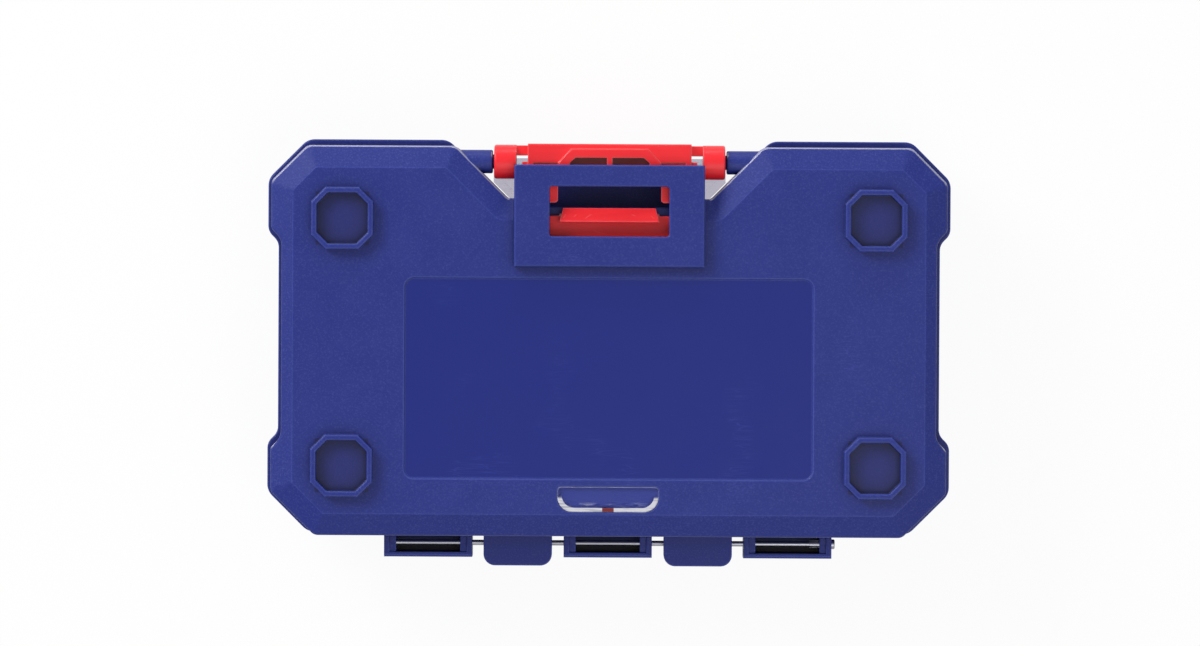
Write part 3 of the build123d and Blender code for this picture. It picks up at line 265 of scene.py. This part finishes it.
def build_scuff_group():
    """Hair scratches that handling leaves, in two directions, thinned out by a slow noise."""
    tree, given, out = new_group(
        "Handling scuffs",
        [("Vector", "NodeSocketVector", None), ("Amount", "NodeSocketFloat", 0.5)],
        [("Mask", "NodeSocketFloat")])
    lines = []
    for turn, stretch in ((24.0, 42.0), (-61.0, 55.0)):
        turned = mapped(tree, given["Vector"], Rotation=(0.0, 0.0, radians(turn)),
                        Scale=(stretch, 16.0 * stretch, 4.0 * stretch))
        cells = add_node(tree, "ShaderNodeTexVoronoi", {"feature": "DISTANCE_TO_EDGE"}, Vector=turned,
                         Scale=1.0)
        lines.append(ramp(tree, cells.outputs[0], 0.0, 0.03, 1.0, 0.0))
    kept = ramp(tree, noise(tree, given["Vector"], 38.0, 2.0), 0.56, 0.66)
    thinned = product(tree, greatest(tree, *lines), kept, given["Amount"])
    tree.links.new(thinned, out.inputs["Mask"])


def build_edge_group():
    """Rounded normal at small edges, and a mask of those edges."""
    tree, given, out = new_group(
        "Soft edges",
        [("Radius", "NodeSocketFloat", 0.0004)],
        [("Normal", "NodeSocketVector"), ("Mask", "NodeSocketFloat")])
    soft = add_node(tree, "ShaderNodeBevel", {"samples": 6}, Radius=given["Radius"]).outputs[0]
    flat = add_node(tree, "ShaderNodeNewGeometry").outputs["Normal"]
    match = add_node(tree, "ShaderNodeVectorMath", {"operation": "DOT_PRODUCT"}, i0=soft,
                     i1=flat).outputs["Value"]
    tree.links.new(soft, out.inputs["Normal"])
    tree.links.new(ramp(tree, match, 0.998, 0.93), out.inputs["Mask"])


def build_corner_group():
    """How deep in a corner a point lies, from 0 in the open to 1."""
    tree, given, out = new_group(
        "Corner dust", [("Reach", "NodeSocketFloat", 0.006)], [("Mask", "NodeSocketFloat")])
    shade = add_node(tree, "ShaderNodeAmbientOcclusion", {"samples": 6},
                     Distance=given["Reach"]).outputs["AO"]
    tree.links.new(ramp(tree, shade, 1.0, 0.35), out.inputs["Mask"])


def build_zone_group():
    """1 inside a box of the object's own space and 0 outside it."""
    tree, given, out = new_group(
        "Zone",
        [("Vector", "NodeSocketVector", None), ("Low", "NodeSocketVector", None),
         ("High", "NodeSocketVector", None)],
        [("Mask", "NodeSocketFloat")])

    def combine(operation, first, second):
        return add_node(tree, "ShaderNodeVectorMath", {"operation": operation}, i0=first,
                        i1=second).outputs[0]

    inside = combine("MINIMUM", combine("SUBTRACT", given["Vector"], given["Low"]),
                     combine("SUBTRACT", given["High"], given["Vector"]))
    x, y, z = split_xyz(tree, inside)
    least = math(tree, "MINIMUM", math(tree, "MINIMUM", x, y), z)
    tree.links.new(math(tree, "GREATER_THAN", least, 0.0), out.inputs["Mask"])


# ---------------------------------------------------------------- what a user may change
class ShellFinish(bpy.types.PropertyGroup):
    """Blue mouldings: both halves and the lock cover"""
    colour: bpy.props.FloatVectorProperty(
        name="Colour", description="Blue of the mouldings", subtype="COLOR", size=3, min=0.0, max=1.0,
        default=(0.008, 0.019, 0.19))
    pale_colour: bpy.props.FloatVectorProperty(
        name="Mottle colour", description="Blue of the slow mottle", subtype="COLOR", size=3,
        min=0.0, max=1.0, default=(0.013, 0.025, 0.205))
    speck_colour: bpy.props.FloatVectorProperty(
        name="Speck colour", description="Paler blue of grain tips", subtype="COLOR",
        size=3, min=0.0, max=1.0, default=(0.08, 0.1, 0.34))
    label_colour: bpy.props.FloatVectorProperty(
        name="Label colour", description="Blue of the smooth label recess", subtype="COLOR", size=3,
        min=0.0, max=1.0, default=(0.002, 0.0115, 0.182))
    # paler blue of rubbed edges, also used for the highlight lines painted along open edges
    edge_colour: bpy.props.FloatVectorProperty(
        name="Edge colour", description="Paler blue of rubbed edges", subtype="COLOR", size=3,
        min=0.0, max=1.0, default=(0.08, 0.12, 0.5))
    # duller blue painted on the ring floors, for dust and for the shade inside the rings
    ring_dust_and_shade_colour: bpy.props.FloatVectorProperty(
        name="Dust and shade colour", description="Duller blue inside the four rings", subtype="COLOR", size=3,
        min=0.0, max=1.0, default=(0.012, 0.016, 0.12))
    # how pale the open edges are painted, as wear and as highlight lines
    edge_wear_and_highlight: bpy.props.FloatProperty(
        name="Edge wear and highlight", description="How pale the edges are rubbed", default=0.9, min=0.0, max=1.0)
    grain_size: bpy.props.FloatProperty(
        name="Grain size", description="Width of one grain of the mould texture", default=0.0006,
        min=0.0001, unit="LENGTH", precision=4)
    grain_depth: bpy.props.FloatProperty(
        name="Grain depth", description="Depth of the mould texture", default=0.00006, min=0.0,
        unit="LENGTH", precision=5)


class RedFinish(bpy.types.PropertyGroup):
    """Red mouldings: latch, slide and marker"""
    colour: bpy.props.FloatVectorProperty(
        name="Colour", description="Red of the mouldings", subtype="COLOR", size=3, min=0.0, max=1.0,
        default=(0.95, 0.021, 0.031))
    deep_colour: bpy.props.FloatVectorProperty(
        name="Flow colour", description="Deeper red of the flow marks", subtype="COLOR", size=3, min=0.0,
        max=1.0, default=(0.86, 0.015, 0.025))
    edge_colour: bpy.props.FloatVectorProperty(
        name="Edge colour", description="Paler red of rubbed edges", subtype="COLOR", size=3, min=0.0,
        max=1.0, default=(0.95, 0.2, 0.2))


class ClearFinish(bpy.types.PropertyGroup):
    """Clear mouldings: front panel with its keeper, and sight lens"""
    tint: bpy.props.FloatVectorProperty(
        name="Tint", description="Tint of the clear plastic", subtype="COLOR", size=3, min=0.0, max=1.0,
        default=(0.47, 0.45, 0.535))
    # pale colour of the light painted into the lens rim
    lens_rim_light: bpy.props.FloatVectorProperty(
        name="Lens rim light", description="Pale colour of the light in the lens rim", subtype="COLOR", size=3,
        min=0.0, max=1.0, default=(0.82, 0.82, 0.88))
    haze: bpy.props.FloatProperty(
        name="Haze", description="Roughness of the clear plastic", default=0.06, min=0.0, max=1.0)


class SteelFinish(bpy.types.PropertyGroup):
    """Hinge rod, screws and spring"""
    colour: bpy.props.FloatVectorProperty(
        name="Colour", description="Drawn steel", subtype="COLOR", size=3, min=0.0, max=1.0,
        default=(0.3, 0.3, 0.34))


class InsertFinish(bpy.types.PropertyGroup):
    """Black insert: tray, posts and clips"""
    colour: bpy.props.FloatVectorProperty(
        name="Colour", description="Black of the insert", subtype="COLOR", size=3, min=0.0, max=1.0,
        default=(0.016, 0.016, 0.018))


class StageSetting(bpy.types.PropertyGroup):
    """Floor, lamps and camera"""
    floor_colour: bpy.props.FloatVectorProperty(
        name="Floor colour", description="Colour of the floor", subtype="COLOR", size=3, min=0.0, max=1.0,
        default=(0.93, 0.93, 0.93))
    key_power: bpy.props.FloatProperty(
        name="Key power", description="Power of the large soft lamp", default=25.0, min=0.0, unit="POWER")
    edge_power: bpy.props.FloatProperty(
        name="Edge power", description="Power of the low strip behind the latch", default=5.5, min=0.0,
        unit="POWER")
    fill_power: bpy.props.FloatProperty(
        name="Fill power", description="Power of the fill lamp", default=10.5, min=0.0, unit="POWER")
    sky: bpy.props.FloatProperty(
        name="Sky", description="Strength of the even light all round", default=0.36, min=0.0)
    camera_height: bpy.props.FloatProperty(
        name="Camera height", description="Height of the camera above the floor", default=2.046, min=0.5,
        unit="LENGTH")
    lens: bpy.props.FloatProperty(
        name="Lens", description="Focal length of the camera, in mm", default=166.6, min=20.0)


# ---------------------------------------------------------------- finishes
class CASE_OT_shared_effects(bpy.types.Operator):
    """Build the node groups that several finishes use"""
    bl_idname = "case.shared_effects"
    bl_label = "Shared effects"

    def execute(self, context):
        build_grain_group()
        build_scuff_group()
        build_edge_group()
        build_corner_group()
        build_zone_group()
        return {"FINISHED"}


class CASE_OT_blue_mouldings(bpy.types.Operator):
    """Grained blue plastic on both halves and the lock cover, smooth in the label recess"""
    bl_idname = "case.blue_mouldings"
    bl_label = "Blue mouldings"

    def execute(self, context):
        finish = context.scene.case_shell
        material, tree, place, shader = start_material("Blue moulding")
        grain = use_group(tree, "Mould grain", Vector=place, Size=finish.grain_size)
        scuffs = use_group(tree, "Handling scuffs", Vector=place, Amount=0.6)["Mask"]
        edges = use_group(tree, "Soft edges", Radius=0.0008)
        # corner depth, used below for the shade painted into corners
        corners = use_group(tree, "Corner dust", Reach=0.007)["Mask"]
        open_edges = product(tree, edges["Mask"], ramp(tree, corners, 0.06, 0.3, 1.0, 0.0))
        x, y, z = split_xyz(tree, place)
        face_x, face_y, face_z = facing(tree)

        # masks of places: label recess, seat under the lens, hinge pockets, floors of the four rings
        label = zone(tree, place, LABEL_RECESS)
        lens_seat = zone(tree, place, LENS_SEAT)
        pockets = zone(tree, place, HINGE_POCKETS)
        fold_y = math(tree, "ABSOLUTE", math(tree, "SUBTRACT", y, RINGS_MIDDLE_Y))
        folded = add_node(tree, "ShaderNodeCombineXYZ", i0=math(tree, "ABSOLUTE", x), i1=fold_y, i2=z)
        ring_floors = zone(tree, folded.outputs[0], RING_FLOOR)

        # masks of faces: sloped margins of the back, and the rounded edge on which a pale highlight is
        # painted
        margin = product(tree, math(tree, "COMPARE", face_z, *MARGIN_TILT),
                         math(tree, "GREATER_THAN", z, MARGIN_LOW_Z))
        rounding = product(tree, math(tree, "COMPARE", face_z, *ROUNDED_EDGE_TILT),
                           math(tree, "COMPARE", z, *ROUNDED_EDGE_Z))
        rim_edge = greatest(tree, math(tree, "GREATER_THAN", y, LATCH_EDGE_Y),
                            math(tree, "GREATER_THAN", math(tree, "ABSOLUTE", face_x), 0.1))
        # painted highlight: a pale line on the rounded edges that face +Y, which also get a glossy coat
        highlight_edge = product(tree, rounding, rim_edge, ramp(tree, face_y, 0.15, 0.4, 0.0, 0.75))

        # how strongly each layer shows over the mottled moulding, from the specks up to the painted shade in
        # the hinge pockets
        speckled = product(tree, ramp(tree, grain["Height"], 0.5, 0.74),
                           math(tree, "ADD", product(tree, margin, 0.1), 0.34))
        specks = math(tree, "ADD", speckled, product(tree, margin, 0.03))
        # open edges painted paler, partly as wear and partly as painted highlight lines; the scuffs are wear
        worn = greatest(tree, product(tree, scuffs, 0.25), product(tree, open_edges, finish.edge_wear_and_highlight))
        # painted shade in corners, strongest on the ring floors, with some corner dust
        dusty_corner_shade = product(tree, corners, ramp(tree, ring_floors, 0.0, 1.0, 0.4, 0.95))
        # painted shade in the hinge pockets, darkest deep in them
        painted_hinge_shade = product(tree, pockets, ramp(tree, y, POCKET_MOUTH_Y, POCKET_DEEP_Y, 0.35, 0.94))
        colour = mix_colour(tree, grain["Mottle"], rgba(finish.colour), rgba(finish.pale_colour))
        for share, layer in ((specks, rgba(finish.speck_colour)),
                             # ring floors: dust and painted shade
                             (product(tree, ring_floors, 0.7), rgba(finish.ring_dust_and_shade_colour)),
                             (label, rgba(finish.label_colour)),
                             (worn, rgba(finish.edge_colour)),
                             (highlight_edge, PAINTED_HIGHLIGHT),
                             (dusty_corner_shade, CORNER_SHADE),
                             # painted light on the seat under the lens
                             (lens_seat, LIGHT_UNDER_LENS),
                             (painted_hinge_shade, PAINTED_HINGE_SHADE)):
            colour = mix_colour(tree, share, colour, layer)

        coarser = math(tree, "SUBTRACT", product(tree, margin, 0.14), product(tree, label, 0.04))
        rough = math(tree, "ADD", ramp(tree, grain["Mottle"], 0.0, 1.0, 0.42, 0.5), coarser)
        smoother_edges = math(tree, "SUBTRACT", rough, product(tree, open_edges, 0.12))
        relief = product(tree, grain["Height"], ramp(tree, label, 0.0, 1.0, 1.0, 0.15))
        set_bump(tree, shader, math(tree, "SUBTRACT", relief, product(tree, scuffs, 0.3)),
                 finish.grain_depth, edges["Normal"])
        feed(tree, shader, Base_Color=colour, Roughness=smoother_edges, Coat_Weight=highlight_edge)
        shader.inputs["Coat Roughness"].default_value = 0.14
        shader.inputs["Specular IOR Level"].default_value = 0.3
        dress(BLUE_NODES, material)
        return {"FINISHED"}


class CASE_OT_red_mouldings(bpy.types.Operator):
    """Smooth red plastic with faint flow marks on the latch, the slide and the marker"""
    bl_idname = "case.red_mouldings"
    bl_label = "Red mouldings"

    def execute(self, context):
        finish = context.scene.case_red
        material, tree, place, shader = start_material("Red moulding")
        grain = use_group(tree, "Mould grain", Vector=place, Size=0.0005)
        scuffs = use_group(tree, "Handling scuffs", Vector=place, Amount=0.6)["Mask"]
        edges = use_group(tree, "Soft edges", Radius=0.0006)
        flow = noise(tree, mapped(tree, place, Scale=(0.35, 1.6, 1.0)), 60.0, 2.0, Distortion=1.2)
        streaks = ramp(tree, flow, 0.38, 0.68)

        # faint scratched arcs on the plate of the slide
        rings = add_node(tree, "ShaderNodeTexWave", {"wave_type": "RINGS", "rings_direction": "Z"},
                         Vector=mapped(tree, place, Location=(-SCRATCH_CENTRE[0], -SCRATCH_CENTRE[1], 0.0)),
                         Scale=90.0, Distortion=2.5, Detail=1.0).outputs[1]
        arcs = product(tree, ramp(tree, rings, 0.965, 0.995), zone(tree, place, SLIDE_PLATE),
                       ramp(tree, noise(tree, place, 170.0, 1.0), 0.5, 0.56, 0.0, 0.7))

        rubbed = greatest(tree, product(tree, greatest(tree, scuffs, arcs), 0.45),
                          product(tree, edges["Mask"], 0.4))
        # painted shade: deep red in the latch pockets and on the marker under the lens
        shadowed = greatest(tree, zone(tree, place, LATCH_POCKETS), zone(tree, place, MARKER))
        colour = mix_colour(tree, streaks, rgba(finish.colour), rgba(finish.deep_colour))
        colour = mix_colour(tree, rubbed, colour, rgba(finish.edge_colour))
        colour = mix_colour(tree, product(tree, shadowed, 0.92), colour, PAINTED_SHADE_RED)
        rough = math(tree, "ADD", ramp(tree, streaks, 0.0, 1.0, 0.3, 0.38), product(tree, scuffs, 0.2))
        set_bump(tree, shader, math(tree, "ADD", grain["Height"], product(tree, streaks, 1.5)), 0.00003,
                 edges["Normal"])
        feed(tree, shader, Base_Color=colour, Roughness=rough, Coat_Weight=product(tree, edges["Mask"], 0.8))
        shader.inputs["Coat Roughness"].default_value = 0.12
        shader.inputs["Specular IOR Level"].default_value = 0.35
        dress(RED_NODES, material)
        return {"FINISHED"}


class CASE_OT_clear_panel(bpy.types.Operator):
    """Smoky clear plastic on the front panel with its keeper"""
    bl_idname = "case.clear_panel"
    bl_label = "Clear panel"

    def execute(self, context):
        finish = context.scene.case_clear
        material, tree, place, shader = start_material("Clear panel")
        scuffs = use_group(tree, "Handling scuffs", Vector=place, Amount=0.8)["Mask"]
        grain = use_group(tree, "Mould grain", Vector=place, Size=0.004)
        colour = mix_colour(tree, grain["Mottle"], rgba(finish.tint), rgba(finish.tint, 0.97))
        rough = math(tree, "ADD", product(tree, scuffs, 0.25), finish.haze)
        set_bump(tree, shader, math(tree, "SUBTRACT", grain["Height"], scuffs), 0.00002)
        feed(tree, shader, Base_Color=colour, Roughness=rough)
        shader.inputs["Transmission Weight"].default_value = 1.0
        shader.inputs["IOR"].default_value = 1.49
        dress(("front_window",), material)
        return {"FINISHED"}


class CASE_OT_sight_lens(bpy.types.Operator):
    """Thin clear lens, with light painted into its rim along its lower edge and highlight lines painted on
    its sloped rim
    """
    bl_idname = "case.sight_lens"
    bl_label = "Sight lens"

    def execute(self, context):
        finish = context.scene.case_clear
        low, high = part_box("sight_lens")
        painted_light_start = high.y - LENS_PAINTED_LIGHT[0]
        material, tree, place, shader = start_material("Sight lens")
        spot = split_xyz(tree, place)
        tilt = facing(tree)["Z"]
        slope = product(tree, ramp(tree, tilt, 0.97, 0.7), math(tree, "GREATER_THAN", tilt, 0.05),
                        math(tree, "GREATER_THAN", spot["Z"], high.z - LENS_SLOPE_DEPTH))
        rim = math(tree, "GREATER_THAN", spot["Z"], high.z - LENS_RIM_DEPTH)
        lower = ramp(tree, spot["Y"], painted_light_start, painted_light_start - LENS_PAINTED_LIGHT[1])
        streaks = noise(tree, mapped(tree, place, Scale=(0.3, 1.0, 1.0)), 700.0, 3.0)
        band = ramp(tree, spot["Y"], low.y + LENS_RUB_BAND[0], low.y + LENS_RUB_BAND[1])
        rubbed = product(tree, ramp(tree, streaks, 0.5, 0.66), band, 0.45)
        # painted light along the lower rim and painted highlight lines on the sloped rim, in pale colour and
        # opacity
        painted_rim_light = product(tree, rim, ramp(tree, lower, 0.0, 1.0, 0.02, 0.82))
        lines = product(tree, slope, ramp(tree, lower, 0.0, 1.0, 0.4, 0.95))
        shown = greatest(tree, painted_rim_light, lines, rubbed)
        colour = mix_colour(tree, ramp(tree, shown, 0.1, 0.5), LENS_BODY, rgba(finish.lens_rim_light))
        stripes = ramp(tree, noise(tree, mapped(tree, place, Scale=(0.05, 1.0, 0.1)), 2200.0, 1.0), 0.48, 0.6)
        colour = mix_colour(tree, product(tree, stripes, 0.6), colour, LENS_STREAK)
        set_bump(tree, shader, streaks, 0.00002)
        feed(tree, shader, Base_Color=colour, Roughness=ramp(tree, streaks, 0.3, 0.7, 0.08, 0.16),
             Alpha=greatest(tree, shown, 0.02))
        dress(("sight_lens",), material)
        return {"FINISHED"}


class CASE_OT_steel_parts(bpy.types.Operator):
    """Drawn steel with lengthwise lines on the rod, the screws and the spring"""
    bl_idname = "case.steel_parts"
    bl_label = "Steel parts"

    def execute(self, context):
        finish = context.scene.case_steel
        material, tree, place, shader = start_material("Drawn steel")
        drawn = noise(tree, mapped(tree, place, Scale=(0.02, 1.0, 1.0)), 900.0, 3.0)
        colour = mix_colour(tree, ramp(tree, drawn, 0.35, 0.7), rgba(finish.colour), rgba(finish.colour, 0.7))
        set_bump(tree, shader, drawn, 0.00002)
        feed(tree, shader, Base_Color=colour, Roughness=ramp(tree, drawn, 0.3, 0.7, 0.2, 0.36))
        shader.inputs["Metallic"].default_value = 1.0
        dress(STEEL_NODES, material)
        return {"FINISHED"}


class CASE_OT_insert_parts(bpy.types.Operator):
    """Coarse black plastic on the tray, the posts and the clips"""
    bl_idname = "case.insert_parts"
    bl_label = "Insert parts"

    def execute(self, context):
        finish = context.scene.case_insert
        material, tree, place, shader = start_material("Black insert")
        grain = use_group(tree, "Mould grain", Vector=place, Size=0.0011)
        scuffs = use_group(tree, "Handling scuffs", Vector=place, Amount=0.8)["Mask"]
        worn = greatest(tree, product(tree, grain["Mottle"], 0.35), scuffs)
        colour = mix_colour(tree, worn, rgba(finish.colour), rgba(finish.colour, 2.2))
        set_bump(tree, shader, grain["Height"], 0.00012)
        feed(tree, shader, Base_Color=colour, Roughness=ramp(tree, grain["Mottle"], 0.0, 1.0, 0.5, 0.62))
        dress(INSERT_NODES, material)
        return {"FINISHED"}


# ---------------------------------------------------------------- stage
def add_area_lamp(name, place, width, height, power):
    """A rectangular soft lamp at a place, aimed at the case."""
    bpy.ops.object.light_add(type="AREA", location=place)
    lamp = bpy.context.object
    lamp.name = name
    lamp.data.shape = "RECTANGLE"
    lamp.data.size = width
    lamp.data.size_y = height
    lamp.data.energy = power
    lamp.rotation_euler = (Vector(LAMP_AIM) - Vector(place)).to_track_quat("-Z", "Y").to_euler()


def add_floor(setting):
    """A pale floor under the case, white to the eye, that keeps the shadows."""
    bpy.ops.object.select_all(action="DESELECT")
    bpy.ops.mesh.primitive_plane_add(size=FLOOR_SIZE, location=(0.0, 0.0, CASE_LOW.z))
    floor = bpy.context.object
    floor.name = "floor"
    material, tree, place, shader = start_material("Pale floor")
    colour = mix_colour(tree, noise(tree, place, 3.0, 2.0), rgba(setting.floor_colour),
                        rgba(setting.floor_colour, 0.99))
    feed(tree, shader, Base_Color=colour)
    shader.inputs["Roughness"].default_value = 0.8
    shader.inputs["Specular IOR Level"].default_value = 0.1
    glow = add_node(tree, "ShaderNodeEmission", Color=WHITE, Strength=1.0)
    blend = add_node(tree, "ShaderNodeMixShader", i0=product(tree, seen_directly(tree), FLOOR_GLOW),
                     i1=shader.outputs[0], i2=glow.outputs[0])
    tree.links.new(blend.outputs[0], tree.nodes["Material Output"].inputs["Surface"])
    floor.data.materials.append(material)


def add_sky(scene, setting):
    """Even light from all round, and a white background."""
    world = bpy.data.worlds.new("Even sky")
    scene.world = world
    world.use_nodes = True
    sky = world.node_tree
    backdrop = sky.nodes["Background"]
    backdrop.inputs["Color"].default_value = WHITE
    feed(sky, backdrop, Strength=greatest(sky, seen_directly(sky), setting.sky))


def add_camera(scene, setting):
    """The camera nearly straight above the case, with +Y upwards in the picture."""
    eye = Vector((0.0, CAMERA_Y, setting.camera_height))
    aim = Vector((*CAMERA_AIM, CASE_HIGH.z - CAMERA_AIM_DEPTH))
    ahead = (aim - eye).normalized()
    right = ahead.cross(Vector((0.0, 1.0, 0.0))).normalized()
    up = right.cross(ahead)
    turn = Matrix((right, up, -ahead)).transposed().to_quaternion()
    bpy.ops.object.camera_add(location=eye)
    camera = bpy.context.object
    camera.name = "camera"
    camera.rotation_mode = "QUATERNION"
    camera.rotation_quaternion = Quaternion(ahead, radians(CAMERA_ROLL)) @ turn
    camera.data.lens = setting.lens
    camera.data.sensor_width = 36.0
    camera.data.clip_start = 0.05
    scene.camera = camera


class CASE_OT_stage(bpy.types.Operator):
    """Pale floor, soft lamps, even sky and the camera above the case"""
    bl_idname = "case.stage"
    bl_label = "Stage"

    def execute(self, context):
        setting = context.scene.case_stage
        add_floor(setting)
        for name, place, width, height, power in LAMPS:
            add_area_lamp(name, place, width, height, getattr(setting, power))
        add_sky(context.scene, setting)
        context.scene.view_settings.view_transform = "Standard"
        add_camera(context.scene, setting)
        return {"FINISHED"}


class CASE_PT_panel(bpy.types.Panel):
    """Lists the steps that dress the case"""
    bl_label = "Socket case"
    bl_idname = "CASE_PT_panel"
    bl_space_type = "VIEW_3D"
    bl_region_type = "UI"
    bl_category = "Socket case"

    def draw(self, context):
        for name, settings, operators in SECTIONS:
            box = self.layout.box()
            box.label(text=name)
            if settings:
                group = getattr(context.scene, settings)
                for label in group.__annotations__:
                    box.prop(group, label)
            for operator in operators:
                box.operator(operator.bl_idname)


SETTINGS = {"case_shell": ShellFinish, "case_red": RedFinish, "case_clear": ClearFinish,
            "case_steel": SteelFinish, "case_insert": InsertFinish, "case_stage": StageSetting}
SECTIONS = (
    ("Shared effects", None, (CASE_OT_shared_effects,)),
    ("Blue mouldings", "case_shell", (CASE_OT_blue_mouldings,)),
    ("Red mouldings", "case_red", (CASE_OT_red_mouldings,)),
    ("Clear mouldings", "case_clear", (CASE_OT_clear_panel, CASE_OT_sight_lens)),
    ("Steel parts", "case_steel", (CASE_OT_steel_parts,)),
    ("Insert parts", "case_insert", (CASE_OT_insert_parts,)),
    ("Stage", "case_stage", (CASE_OT_stage,)),
)
OPERATORS = [operator for section in SECTIONS for operator in section[2]]


def register():
    for group in SETTINGS.values():
        bpy.utils.register_class(group)
    for name, group in SETTINGS.items():
        setattr(bpy.types.Scene, name, bpy.props.PointerProperty(type=group))
    for operator in OPERATORS:
        bpy.utils.register_class(operator)
    bpy.utils.register_class(CASE_PT_panel)


def unregister():
    bpy.utils.unregister_class(CASE_PT_panel)
    for operator in reversed(OPERATORS):
        bpy.utils.unregister_class(operator)
    for name, group in reversed(SETTINGS.items()):
        delattr(bpy.types.Scene, name)
        bpy.utils.unregister_class(group)


def main():
    """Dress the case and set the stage."""
    register()
    for operator in OPERATORS:
        space, name = operator.bl_idname.split(".")
        getattr(getattr(bpy.ops, space), name)()


if __name__ == "__main__":
    main()
